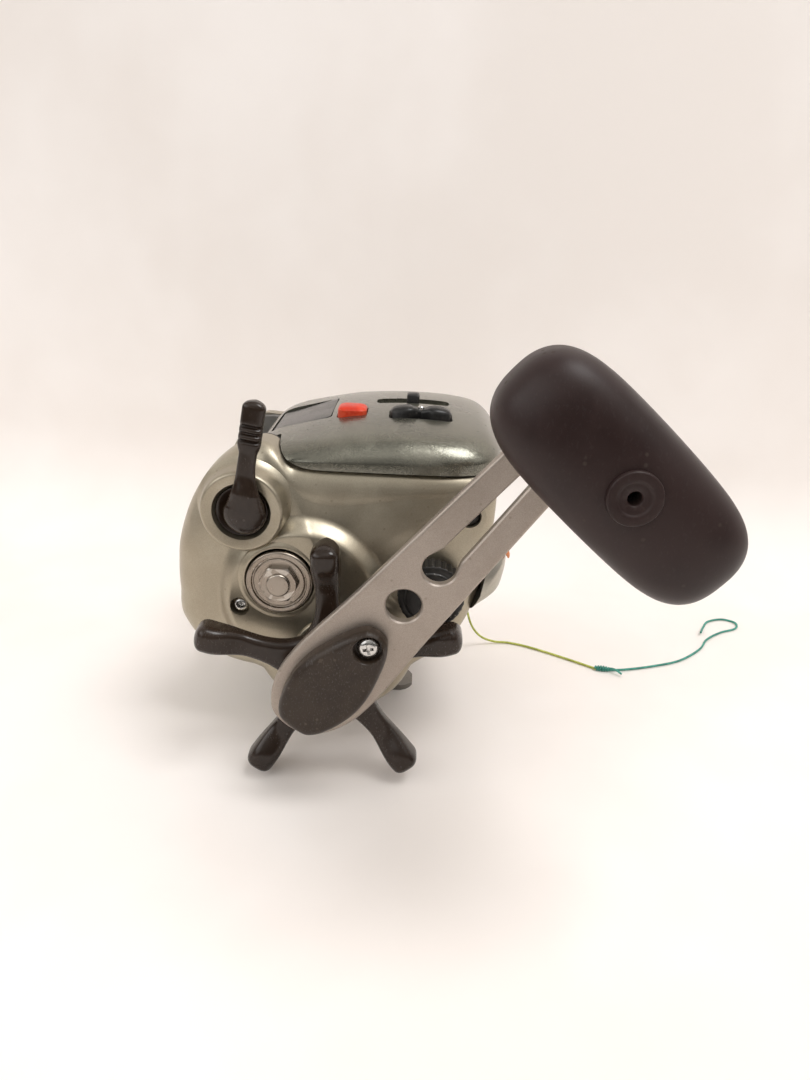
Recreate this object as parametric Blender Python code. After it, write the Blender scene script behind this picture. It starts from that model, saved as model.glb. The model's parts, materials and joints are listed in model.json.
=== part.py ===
"""Electric fishing reel with a hand crank, modelled as an assembly of separate pieces.

Axes: +X points out of the crank side, +Y forward along the rod, +Z up.
The origin is the middle of the underside of the reel foot. All sizes are in metres.
"""

import math

import bmesh
import bpy
import numpy as np

# Clearances and general values
GAP = 0.0003              # least space between pieces that touch or slide
RUN = 0.0008              # space round a piece that turns freely
OVERRUN = 0.002           # how far a cutter passes the face that it cuts
WALL = 0.002              # moulded wall
SOFT_EDGE = 0.0006        # small edge rounding

# Main axes, each parallel to X; places on the covers are shares of their length and height
SPOOL_SHARES = (0.347689076, 0.454172367)
GEAR_MODULE_SHARE = 0.0115546218      # of the cover's length
MOTOR_MODULE_SHARE = 0.0131302521
DRIVE_TEETH = 39
PINION_TEETH = 12
WORM_TEETH = 13
MOTOR_TEETH = 8
IDLER_TEETH = 24
SPOOL_GEAR_TEETH = 22
SHAFT_ANGLE = math.radians(-55.7)     # direction from the spool axis to the crank shaft
WORM_ANGLE = math.radians(21.5)       # direction from the crank shaft to the worm shaft
MOTOR_ANGLE = math.radians(8.5)       # direction from the spool axis to the motor

# Stations along X
PLATE_INNER = 0.0223
PLATE_THICKNESS = 0.003
COVER_DEPTH_RIGHT = 0.0164
COVER_DEPTH_LEFT = 0.0144
STAR_CLEARANCE = 0.0016     # from the brake knob to the star
STAR_THICKNESS = 0.0047
STAR_TIP_THICKNESS = 0.0092
ARM_CLEARANCE = 0.0045      # from the star's tips to the arm
ARM_THICKNESS = 0.003

# Side covers: outline as shares of its length (Y) and height (Z) from its low rear corner
COVER_REAR = -0.0489
COVER_LENGTH = 0.0952
COVER_BASE = 0.0255
COVER_HEIGHT = 0.0731
COVER_OUTLINE_SHARES = (
    (0.012, 0.200), (0.000, 0.330), (0.000, 0.440), (0.010, 0.560), (0.050, 0.715), (0.108, 0.842),
    (0.172, 0.930), (0.250, 0.986), (0.316, 0.996), (0.368, 0.955), (0.425, 0.896), (0.520, 0.887),
    (0.700, 0.887), (0.880, 0.887), (0.970, 0.883), (0.993, 0.845), (0.995, 0.720), (0.985, 0.560),
    (0.962, 0.400), (0.915, 0.230), (0.830, 0.095), (0.650, 0.010), (0.300, 0.000), (0.120, 0.060),
)
COVER_CENTRE_SHARES = (0.5, 0.48)
LEFT_TOP_SHARE = 0.905    # the far side has no hump higher than this share
COVER_SPLIT_COUNT = 2     # outline points for each control point
COVER_EDGE = 0.0045       # rounding round the outer face
COVER_CROWN = 0.0012      # bulge of the outer face
OUTER_ARC = (0, 45, 90)  # degrees at which an outer rounding has points
INNER_ARC = (0, 90)
CURVED_SHELLS = ("right_side_cover", "left_side_cover")
GEAR_BOSS_SHARE = 0.258403361         # radius, as a share of the cover's length
GEAR_BOSS_RISE = 0.0008
GEAR_BOSS_EDGE = 0.0026
NECK_RADIUS = 0.0115
NECK_RISE = 0.0042
LEVER_SHARES = (0.239495798, 0.744186047)
LEVER_BOSS_RADIUS = 0.0110
LEVER_BOSS_SKIRT = 0.0024
LEVER_BOSS_RISE = 0.0055
LEVER_RECESS_RADIUS = 0.0078
LEVER_RECESS_DEPTH = 0.0043
CAP_BOSS_RADIUS = 0.0122
CAP_BOSS_SKIRT = 0.0055
CAP_BOSS_RISE = 0.0032
LEFT_BOSS_RADIUS = 0.0165
LEFT_BOSS_RISE = 0.0026
LEFT_LOBE_DROP = 0.0010   # how far the lobe's face lies below the far-side cover's
DOME_SHARES = (0.412815126, 0.355677155)
DOME_RADIUS = 0.0240
DOME_SOFT = 0.0040
DOME_RISE = 0.0026
COVER_SCREW_SHARES = (0.220588235, 0.326949384)
DEEP_SCREW_SHARES = (0.917016807, 0.734610123)
SCREW_HEAD_RADIUS = 0.0026
SCREW_HEAD_HEIGHT = 0.0014
SCREW_SHANK_RADIUS = 0.0012
DEEP_SCREW_SINK = 0.0045
COUNTERBORE_DEPTH = 0.0017

# Spool, its shaft and its end cap
SPOOL_HALF_WIDTH = 0.0215
FLANGE_RADIUS = 0.0205
FLANGE_THICKNESS = 0.0015
BARREL_RADIUS = 0.009
LINE_CORE_RADIUS = 0.0165
LINE_DIAMETER = 0.00085
WOUND_LOOPS = 10
WOUND_POINTS = 16
SHAFT_RADIUS = 0.0025
BEARING_RADIUS = 0.006
BEARING_WIDTH = 0.0026
END_CAP_RADIUS = 0.0096
END_CAP_HEIGHT = 0.0046
CAP_NUT_FLATS = 0.010
CAP_NUT_HEIGHT = 0.0018
CAP_STUB_RADIUS = 0.0035
CAP_STUB_HEIGHT = 0.0008

# Gears and crank shaft
GEAR_WIDTH = 0.005
GEAR_START = 0.0018       # from the side plate's outer face
DRIVE_SHAFT_RADIUS = 0.003
DRIVE_BEARING_RADIUS = 0.0064
ONE_WAY_RADIUS = 0.0086
ONE_WAY_WIDTH = 0.0058
DRAG_RADIUS = 0.0165
DRAG_THICKNESS = 0.0012

# Level wind
WORM_RADIUS = 0.0026
GUIDE_WIDTH = 0.009
GUIDE_WALL = 0.0022
GUIDE_EYE_RADIUS = 0.0030
GUIDE_PARK = -0.0150      # where the guide stands along X

# Motor
MOTOR_RADIUS_SHARE = 0.115546218      # of the cover's length
MOTOR_SHAFT_RADIUS = 0.0015

# Foot and bridge
FOOT_LENGTH = 0.050
FOOT_WIDTH = 0.0135
FOOT_THICKNESS = 0.0028
FOOT_END_THICKNESS = 0.0014
BRIDGE_LENGTH = 0.030
BRIDGE_HEIGHT = 0.0045
BRIDGE_DROP = 0.0170279    # from the crank shaft
STEM_LENGTH = 0.026
STEM_WIDTH = 0.012
FOOT_SCREW_RADIUS = 0.0016
FOOT_SCREW_HEAD = 0.0030
BAR_RADIUS = 0.0026
REAR_BAR_SHARES = (0.067226891, 0.198358413)
GUARD_BAR_SHARES = (0.739495798, 0.109439124)
GUARD_BAR_RADIUS = 0.0016

# Counter housing
HOUSING_HALF_WIDTH = 0.0395
HOUSING_REAR_SHARE = 0.245798319      # of the cover's length
HOUSING_OVERHANG = 0.0021   # past the covers' front
HOUSING_SEAM = 0.00046      # over the covers' flat top
COVER_TOP_SHARE = 0.887
HOUSING_EDGE = 0.0075
HOUSING_ARCH_SHARE = 0.6   # of the rise, that its long sides lose to the arch over it
HOUSING_PROFILE_SHARES = (           # share of the length from the rear, share of the rise
    (0.00, 0.335), (0.10, 0.500), (0.32, 0.835), (0.42, 0.930), (0.55, 0.990), (0.65, 1.000),
    (0.78, 0.960), (0.88, 0.860), (0.95, 0.720), (1.00, 0.560),
)
HOUSING_RISE = 0.0130
WINDOW_HALF_WIDTH = 0.0215
WINDOW_LENGTH = 0.0205
WINDOW_THICKNESS = 0.0016
WINDOW_SHARE = 0.171853857            # of the housing's length, as for the controls
WINDOW_TILT = math.radians(15.0)
PANEL_THICKNESS = 0.0016
BUTTON_X = 0.0125
BUTTON_SHARE = 0.372
BUTTON_SIZE = 0.0088
BUTTON_STAND = 0.0024
BUTTON_TRAVEL = 0.0010
ROCKER_X = 0.0165
ROCKER_SHARE = 0.656292287
ROCKER_LENGTH = 0.0186
ROCKER_WIDTH = 0.0074
ROCKER_WAIST = 0.0036
ROCKER_STAND = 0.0024
ROCKER_PIN_RADIUS = 0.0010
SLIDER_SHARE = 0.622462788
SLIDER_TRAVEL = 0.0094
SLIDER_WIDTH = 0.0046
SLIDER_LENGTH = 0.0040
SLIDER_STAND = 0.0026
SLIDER_STEM = 0.0018
RECESS_LENGTH = 0.0230
RECESS_WIDTH = 0.0070
RECESS_DEPTH = 0.0017
BASE_THICKNESS = 0.0020
BOARD_THICKNESS = 0.0016
BOARD_SHARE = 0.5954       # of the housing's length

# Front cover: outer face from top to bottom lip, as places in Y and Z
NOSE_TOP_BACK = 0.0008
NOSE_OFFSETS = (           # brow, ledge, edge, front, middle, chin and lip
    (-0.0004, 0.0056), (0.0015, 0.0035), (0.0049, -0.0007), (0.0063, -0.0054), (0.0059, -0.0099),
    (0.0031, -0.0167), (-0.0063, -0.0248),
)
TRIM_THICKNESS = 0.0008

# Star drag
STAR_ARMS = 5
STAR_TURN = math.radians(94.0)        # direction of its top arm
STAR_REACH = 0.0370                   # to the middle of a tip
STAR_TIP_RADIUS = 0.0035
STAR_NECK_HALF = 0.0024
STAR_HUB_RADIUS = 0.0125
STAR_HUB_THICKNESS = 0.0080
STAR_CORE_SHARE = 0.8                  # of the hub's radius
STAR_ROOT_SHARES = ((0.85, 1.7), (1.35, 1.1))     # of the hub's radius and of the neck's half width
STAR_REACH_SHARES = (0.62, 0.84)       # where an arm begins to widen and where it is at its widest
STAR_PAD_SHARES = (1.2, 0.96, 0.7)     # half length, half width and corner, of the tip's radius

# Handle
HANDLE_ANGLE = math.radians(52.2)
HANDLE_LENGTH = 0.0985
ARM_END_BACK = 0.0025                 # the wide end's middle behind the shaft
ARM_END_RADIUS = 0.0115
ARM_WIDE_AT = 0.0300
ARM_WIDE_HALF = 0.0112
ARM_TIP_RADIUS = 0.0082
ARM_HOLE_AT = 0.0345
ARM_HOLE_RADIUS = 0.0046
KEYHOLE_AT = 0.0487
KEYHOLE_RADIUS = 0.0044
SLOT_END_BACK = 0.0135     # from the axle
SLOT_END_HALF = 0.0029
EGG_BIG_RADIUS = 0.0094
EGG_SMALL_RADIUS = 0.0056
EGG_SMALL_AT = 0.0205
EGG_HEIGHT = 0.0060
HANDLE_NUT_FLATS = 0.009
HANDLE_NUT_HEIGHT = 0.0030
KNOB_STANDOFF = 0.0305     # from the arm
KNOB_THICKNESS = 0.0240
KNOB_LENGTH = 0.0590
KNOB_WIDTH = 0.0262
KNOB_TURN = math.radians(-42.0)
KNOB_NECK_RADIUS = 0.0062
KNOB_HUB_RADIUS = 0.0074
KNOB_HUB_STAND = 0.0012
KNOB_HOLE_RADIUS = 0.0014
KNOB_SIDES = 16
AXLE_RADIUS = 0.0025
AXLE_FLANGE_RADIUS = 0.0052

# Clutch lever
LEVER_LENGTH = 0.0325
LEVER_HUB_RADIUS = 0.0068
LEVER_LEAN = math.radians(80.8)
LEVER_NECK_HALF = 0.0023
LEVER_GRIP_HALF = 0.0032
LEVER_GRIP_LENGTH = 0.0120
LEVER_THICKNESS = 0.0038
GROOVE_DEPTH = 0.0007

# Brake knob
BRAKE_SHARES = (0.810924370, 0.435020520)
BRAKE_RADIUS = 0.0098
BRAKE_HEIGHT = 0.0074
BRAKE_RIBS = 20
BRAKE_RIB_DEPTH = 0.0005

# Power inlet
INLET_SHARES = (0.156512605, 0.218878249)
INLET_RADIUS = 0.0062
INLET_LENGTH = 0.0090
INLET_PIN_RADIUS = 0.0008
INLET_PIN_LENGTH = 0.0022

# Free line: route by hand, from the guide's eye to its end loop on the table
EYE_AHEAD = 0.0033832      # from the worm shaft
EYE_DROP = 0.0095099
LINE_START = ((0.0, 0.0), (0.0045, 0.0), (0.0088, -0.0015))      # from the eye, along Y and Z
LINE_START_X = (-0.0150, -0.0150, -0.0156)
LINE_ROUTE = (
    (-0.0172, 0.0420, 0.0305), (-0.0194, 0.0440, 0.0245), (-0.0220, 0.0455, 0.0180),
    (-0.0255, 0.0480, 0.0105), (-0.0290, 0.0520, 0.0045),
    (-0.0315, 0.0575, 0.0012), (-0.0320, 0.0640, 0.0006), (-0.0290, 0.0720, 0.0006),
    (-0.0220, 0.0840, 0.0006), (-0.0140, 0.0962, 0.0006),
)
TAIL_ROUTE = (
    (-0.0136, 0.0998, 0.0006), (-0.0150, 0.1080, 0.0006), (-0.0185, 0.1190, 0.0006),
    (-0.0240, 0.1310, 0.0006), (-0.0340, 0.1420, 0.0006), (-0.0430, 0.1480, 0.0006),
    (-0.0500, 0.1560, 0.0006), (-0.0545, 0.1640, 0.0006), (-0.0600, 0.1660, 0.0006),
    (-0.0630, 0.1610, 0.0006), (-0.0600, 0.1540, 0.0006), (-0.0540, 0.1500, 0.0006),
    (-0.0470, 0.1466, 0.0017),
)
KNOT_RADIUS = 0.0011


def on_cover(shares):
    """Place in Y and Z at shares of the side covers' length and height."""
    return COVER_REAR + COVER_LENGTH * shares[0], COVER_BASE + COVER_HEIGHT * shares[1]


# Worked-out places
SPOOL_Y, SPOOL_Z = on_cover(SPOOL_SHARES)
LEVER_Y, LEVER_Z = on_cover(LEVER_SHARES)
DOME_Y, DOME_Z = on_cover(DOME_SHARES)
COVER_SCREW_Y, COVER_SCREW_Z = on_cover(COVER_SCREW_SHARES)
DEEP_SCREW_Y, DEEP_SCREW_Z = on_cover(DEEP_SCREW_SHARES)
BRAKE_Y, BRAKE_Z = on_cover(BRAKE_SHARES)
INLET_Y, INLET_Z = on_cover(INLET_SHARES)
REAR_BAR_Y, REAR_BAR_Z = on_cover(REAR_BAR_SHARES)
GUARD_BAR_Y, GUARD_BAR_Z = on_cover(GUARD_BAR_SHARES)
COVER_FRONT = COVER_REAR + COVER_LENGTH
GEAR_MODULE = COVER_LENGTH * GEAR_MODULE_SHARE
MOTOR_MODULE = COVER_LENGTH * MOTOR_MODULE_SHARE
GEAR_BOSS_RADIUS = COVER_LENGTH * GEAR_BOSS_SHARE
MOTOR_RADIUS = COVER_LENGTH * MOTOR_RADIUS_SHARE
SHAFT_DISTANCE = GEAR_MODULE * (DRIVE_TEETH + PINION_TEETH) / 2
SHAFT_Y = SPOOL_Y + SHAFT_DISTANCE * math.cos(SHAFT_ANGLE)
SHAFT_Z = SPOOL_Z + SHAFT_DISTANCE * math.sin(SHAFT_ANGLE)
WORM_DISTANCE = GEAR_MODULE * (DRIVE_TEETH + WORM_TEETH) / 2
WORM_Y = SHAFT_Y + WORM_DISTANCE * math.cos(WORM_ANGLE)
WORM_Z = SHAFT_Z + WORM_DISTANCE * math.sin(WORM_ANGLE)
BRIDGE_TOP = SHAFT_Z - BRIDGE_DROP
EYE_Y = WORM_Y + EYE_AHEAD
EYE_Z = WORM_Z - EYE_DROP
IDLER_DISTANCE = MOTOR_MODULE * (SPOOL_GEAR_TEETH + IDLER_TEETH) / 2
MOTOR_DISTANCE = IDLER_DISTANCE + MOTOR_MODULE * (IDLER_TEETH + MOTOR_TEETH) / 2
IDLER_Y = SPOOL_Y + IDLER_DISTANCE * math.cos(MOTOR_ANGLE)
IDLER_Z = SPOOL_Z + IDLER_DISTANCE * math.sin(MOTOR_ANGLE)
MOTOR_Y = SPOOL_Y + MOTOR_DISTANCE * math.cos(MOTOR_ANGLE)
MOTOR_Z = SPOOL_Z + MOTOR_DISTANCE * math.sin(MOTOR_ANGLE)
PLATE_OUTER = PLATE_INNER + PLATE_THICKNESS
COVER_RIM = PLATE_OUTER + GAP
RIGHT_FACE = COVER_RIM + COVER_DEPTH_RIGHT
LEFT_FACE = COVER_RIM + COVER_DEPTH_LEFT
HOUSING_REAR = COVER_REAR + COVER_LENGTH * HOUSING_REAR_SHARE
HOUSING_FRONT = COVER_FRONT + HOUSING_OVERHANG
HOUSING_LENGTH = HOUSING_FRONT - HOUSING_REAR
HOUSING_BASE = COVER_BASE + COVER_HEIGHT * COVER_TOP_SHARE + HOUSING_SEAM
WINDOW_Y = HOUSING_REAR + HOUSING_LENGTH * WINDOW_SHARE
BUTTON_Y = HOUSING_REAR + HOUSING_LENGTH * BUTTON_SHARE
ROCKER_Y = HOUSING_REAR + HOUSING_LENGTH * ROCKER_SHARE
SLIDER_Y = HOUSING_REAR + HOUSING_LENGTH * SLIDER_SHARE
BOARD_LENGTH = HOUSING_LENGTH * BOARD_SHARE
NOSE_TOP = (COVER_FRONT - NOSE_TOP_BACK, HOUSING_BASE - SOFT_EDGE)
NOSE_POINTS = tuple((COVER_FRONT + ahead, MOTOR_Z + up) for ahead, up in NOSE_OFFSETS)
REAR_SCREW_SINK = COUNTERBORE_DEPTH + SOFT_EDGE - DOME_RISE
STAR_INNER = RIGHT_FACE + GAP + BRAKE_HEIGHT + STAR_CLEARANCE
ARM_INNER = STAR_INNER + STAR_TIP_THICKNESS + ARM_CLEARANCE
ARM_OUTER = ARM_INNER + ARM_THICKNESS
GEAR_LOW = PLATE_OUTER + GEAR_START
GEAR_HIGH = GEAR_LOW + GEAR_WIDTH
KNOB_INNER = ARM_OUTER + KNOB_STANDOFF
KNOB_OUTER = KNOB_INNER + KNOB_THICKNESS
SLOT_END_AT = HANDLE_LENGTH - SLOT_END_BACK
HANDLE_DIRECTION = (math.cos(HANDLE_ANGLE), math.sin(HANDLE_ANGLE))
KNOB_Y = SHAFT_Y + HANDLE_LENGTH * HANDLE_DIRECTION[0]
KNOB_Z = SHAFT_Z + HANDLE_LENGTH * HANDLE_DIRECTION[1]


def paint(name, colour, roughness, metallic):
    """Make a plain material."""
    material = bpy.data.materials.new(name)
    material.use_nodes = True
    shader = material.node_tree.nodes["Principled BSDF"]
    shader.inputs["Base Color"].default_value = (*colour, 1)
    shader.inputs["Roughness"].default_value = roughness
    shader.inputs["Metallic"].default_value = metallic
    return material


def add_piece(name, mesh, material, location=(0, 0, 0)):
    """Link a mesh to the scene as one named piece."""
    piece = bpy.data.objects.new(name, mesh)
    piece.location = location
    if material:
        mesh.materials.append(material)
        mesh.shade_smooth()
        mesh.set_sharp_from_angle(angle=math.radians(35))
    bpy.context.scene.collection.objects.link(piece)
    return piece


def make_mesh(name, points, faces):
    """Build a closed mesh with its faces pointing out."""
    mesh = bpy.data.meshes.new(name)
    mesh.from_pydata([tuple(float(value) for value in point) for point in points], [], faces)
    model = bmesh.new()
    model.from_mesh(mesh)
    bent = [face for face in model.faces if len(face.verts) == 4 and not is_flat(face)]
    bmesh.ops.triangulate(model, faces=bent)
    bmesh.ops.recalc_face_normals(model, faces=model.faces)
    model.to_mesh(mesh)
    model.free()
    return mesh


def is_flat(face):
    """Whether a four-sided face lies in one plane."""
    first, second, third, fourth = (corner.co for corner in face.verts)
    normal = (second - first).cross(third - first)
    return abs(normal.dot(fourth - first)) < GAP * normal.length / 1000


def place(axis, across, up, along):
    """Turn a place on an outline and a distance along an axis into X, Y and Z."""
    if axis == "X":
        return (along, across, up)
    if axis == "Y":
        return (across, along, up)
    return (across, up, along)


def stack_mesh(name, rings, axis="X", closed=False):
    """Join rings of (across, up, along) points; a ring of one point is a pole."""
    points = []
    starts = []
    for ring in rings:
        starts.append(len(points))
        points.extend(place(axis, *point) for point in ring)
    faces = []
    pairs = list(zip(range(len(rings) - 1), range(1, len(rings))))
    if closed:
        pairs.append((len(rings) - 1, 0))
    for low, high in pairs:
        count = max(len(rings[low]), len(rings[high]))
        for index in range(count):
            after = (index + 1) % count
            if len(rings[low]) == 1:
                faces.append((starts[low], starts[high] + index, starts[high] + after))
            elif len(rings[high]) == 1:
                faces.append((starts[low] + index, starts[low] + after, starts[high]))
            else:
                faces.append((starts[low] + index, starts[low] + after,
                              starts[high] + after, starts[high] + index))
    if not closed:
        for end in (0, len(rings) - 1):
            if len(rings[end]) > 1:
                faces.append(tuple(starts[end] + index for index in range(len(rings[end]))))
    return make_mesh(name, points, faces)


def circle(radius, steps, across=0.0, up=0.0, turn=0.0):
    """Points of a circle."""
    return [(across + radius * math.cos(turn + math.tau * index / steps),
             up + radius * math.sin(turn + math.tau * index / steps)) for index in range(steps)]


def turned(name, profile, material, location=(0, 0, 0), steps=24, closed=False, turn=0.0):
    """Turn a profile of (along, radius) round X; a closed profile makes a ring."""
    rings = []
    for along, radius in profile:
        if radius > 0:
            rings.append([(*point, along) for point in circle(radius, steps, turn=turn)])
        else:
            rings.append([(0.0, 0.0, along)])
    return add_piece(name, stack_mesh(name, rings, "X", closed), material, location)


def prism(name, outline, low, high, material, axis="X", location=(0, 0, 0)):
    """Extrude an outline between two stations of an axis."""
    rings = [[(*point, station) for point in outline] for station in (low, high)]
    return add_piece(name, stack_mesh(name, rings, axis), material, location)


def box(name, low, high, material):
    """A box between two corners."""
    outline = [(low[0], low[1]), (high[0], low[1]), (high[0], high[1]), (low[0], high[1])]
    return prism(name, outline, low[2], high[2], material, "Z")


def round_box(half_x, half_y, radius, steps=4):
    """Outline of a rectangle with round corners."""
    points = []
    for corner, (side_x, side_y) in enumerate(((1, 1), (-1, 1), (-1, -1), (1, -1))):
        for index in range(steps):
            angle = math.pi / 2 * (corner + index / (steps - 1))
            points.append((side_x * (half_x - radius) + radius * math.cos(angle),
                           side_y * (half_y - radius) + radius * math.sin(angle)))
    return points


def soften(piece, width=SOFT_EDGE, angle=40.0, segments=1):
    """Round the sharp edges of a piece."""
    bevel = piece.modifiers.new("Soft edges", "BEVEL")
    bevel.width = width
    bevel.segments = segments
    bevel.limit_method = "ANGLE"
    bevel.angle_limit = math.radians(angle)


def combine(piece, other, operation):
    """Cut another shape out of a piece, or join it to the piece."""
    other.hide_render = True
    other.display_type = "WIRE"
    step = piece.modifiers.new(operation.title(), "BOOLEAN")
    step.operation = operation
    step.solver = "MANIFOLD" if piece.name in CURVED_SHELLS else "EXACT"
    step.object = other


def cut(piece, *others):
    for other in others:
        combine(piece, other, "DIFFERENCE")


def join(piece, *others):
    for other in others:
        combine(piece, other, "UNION")


def drill(piece, name, radius, low, high, across, up, axis="X", steps=16):
    """Cut a round hole."""
    outline = circle(radius, steps, across, up)
    cut(piece, prism(name, outline, low, high, None, axis))


def smooth_loop(points, splits):
    """Closed smooth curve through points."""
    count = len(points)
    corners = np.array(points)
    result = []
    for index in range(count):
        before, start, end, after = (corners[(index + step) % count] for step in (-1, 0, 1, 2))
        for part in range(splits):
            share = part / splits
            result.append(0.5 * (2 * start + (end - before) * share
                                 + (2 * before - 5 * start + 4 * end - after) * share ** 2
                                 + (3 * start - before - 3 * end + after) * share ** 3))
    return [tuple(point) for point in result]


def smooth_path(points, spacing):
    """Open smooth curve through points, with a point about every spacing."""
    knots = np.array(points)
    padded = np.vstack([2 * knots[0] - knots[1], knots, 2 * knots[-1] - knots[-2]])
    fine = []
    for index in range(1, len(padded) - 2):
        before, start, end, after = padded[index - 1:index + 3]
        for share in np.linspace(0, 1, 20, endpoint=False):
            fine.append(0.5 * (2 * start + (end - before) * share
                               + (2 * before - 5 * start + 4 * end - after) * share ** 2
                               + (3 * start - before - 3 * end + after) * share ** 3))
    fine.append(knots[-1])
    fine = np.array(fine)
    travelled = np.concatenate([[0], np.cumsum(np.linalg.norm(np.diff(fine, axis=0), axis=1))])
    count = max(2, round(travelled[-1] / spacing) + 1)
    stations = np.linspace(0, travelled[-1], count)
    return [tuple(np.interp(station, travelled, fine[:, part]) for part in range(3))
            for station in stations]


def inset(outline, centre, amount):
    """Draw an outline in towards a centre."""
    result = []
    for across, up in outline:
        reach = math.hypot(across - centre[0], up - centre[1])
        share = 1 - amount / reach
        result.append((centre[0] + (across - centre[0]) * share,
                       centre[1] + (up - centre[1]) * share))
    return result


def tube(name, route, diameter, material, resolution):
    """Round tube along a route of points."""
    curve = bpy.data.curves.new(name, "CURVE")
    curve.dimensions = "3D"
    curve.bevel_depth = diameter / 2
    curve.bevel_resolution = resolution
    curve.use_fill_caps = True
    spline = curve.splines.new("POLY")
    spline.points.add(len(route) - 1)
    for point, spot in zip(spline.points, route):
        point.co = (*spot, 1)
    curve.materials.append(material)
    piece = bpy.data.objects.new(name, curve)
    bpy.context.scene.collection.objects.link(piece)
    return piece


def gear(name, teeth, module, low, high, bore, material, location, turn):
    """Spur gear round X, with slack in its teeth so that it runs freely."""
    pitch = module * teeth / 2
    root = pitch - module
    tip = pitch + 0.8 * module
    outline = []
    for index in range(teeth):
        for radius, share in ((root, -0.29), (tip, -0.12), (tip, 0.12), (root, 0.29)):
            angle = turn + math.tau * (index + share) / teeth
            outline.append((radius * math.cos(angle), radius * math.sin(angle)))
    piece = prism(name, outline, low, high, material, "X", location)
    cutter = prism(name + "_bore", circle(bore, 12), low - OVERRUN, high + OVERRUN, None, "X", location)
    cut(piece, cutter)
    return piece


def mesh_turn(direction, teeth):
    """Turn that puts a tooth gap towards a direction."""
    return direction + math.pi / teeth


def cover_outline(side, splits=COVER_SPLIT_COUNT):
    """Side cover outline in Y and Z; the far side's is lower at the hump."""
    top = 1 if side > 0 else LEFT_TOP_SHARE
    return smooth_loop([on_cover((back, min(up, top))) for back, up in COVER_OUTLINE_SHARES], splits)


def cover_centre():
    """Point inside the cover outline from which it is drawn in."""
    return on_cover(COVER_CENTRE_SHARES)


def cover_dome(name, rim, face, edge, crown, draw_in, angles, material, side, splits=COVER_SPLIT_COUNT):
    """Domed solid over the cover outline, from its rim to its face."""
    outline = inset(cover_outline(side, splits), cover_centre(), draw_in)
    rings = [[(*point, side * rim) for point in outline]]
    for angle in angles:
        turn = math.radians(angle)
        loop = inset(outline, cover_centre(), edge * (1 - math.cos(turn)))
        rings.append([(*point, side * (face - crown - edge * (1 - math.sin(turn)))) for point in loop])
    middle = inset(outline, cover_centre(), 3 * edge)
    rings.append([(*point, side * (face - crown / 2)) for point in middle])
    rings.append([(*cover_centre(), side * face)])
    return add_piece(name, stack_mesh(name, rings), material)


def boss(name, across, up, profile, side=1, steps=24):
    """Turned boss shape used to build up or cut a cover."""
    return turned(name, [(side * along, radius) for along, radius in profile], None,
                  (0, across, up), steps)


def gear_boss_profile(face, rise):
    """Profile of the round boss low on a side cover, as a solid and as the hollow inside it."""
    top = face + rise
    inside = face - WALL - COVER_CROWN
    solid = ((COVER_RIM, 0), (COVER_RIM, GEAR_BOSS_RADIUS), (top - GEAR_BOSS_EDGE, GEAR_BOSS_RADIUS),
             (top, GEAR_BOSS_RADIUS - GEAR_BOSS_EDGE), (top, 0))
    hollow = ((COVER_RIM - OVERRUN, 0), (COVER_RIM - OVERRUN, GEAR_BOSS_RADIUS - WALL),
              (inside, GEAR_BOSS_RADIUS - WALL), (inside, 0))
    return solid, hollow


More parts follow.
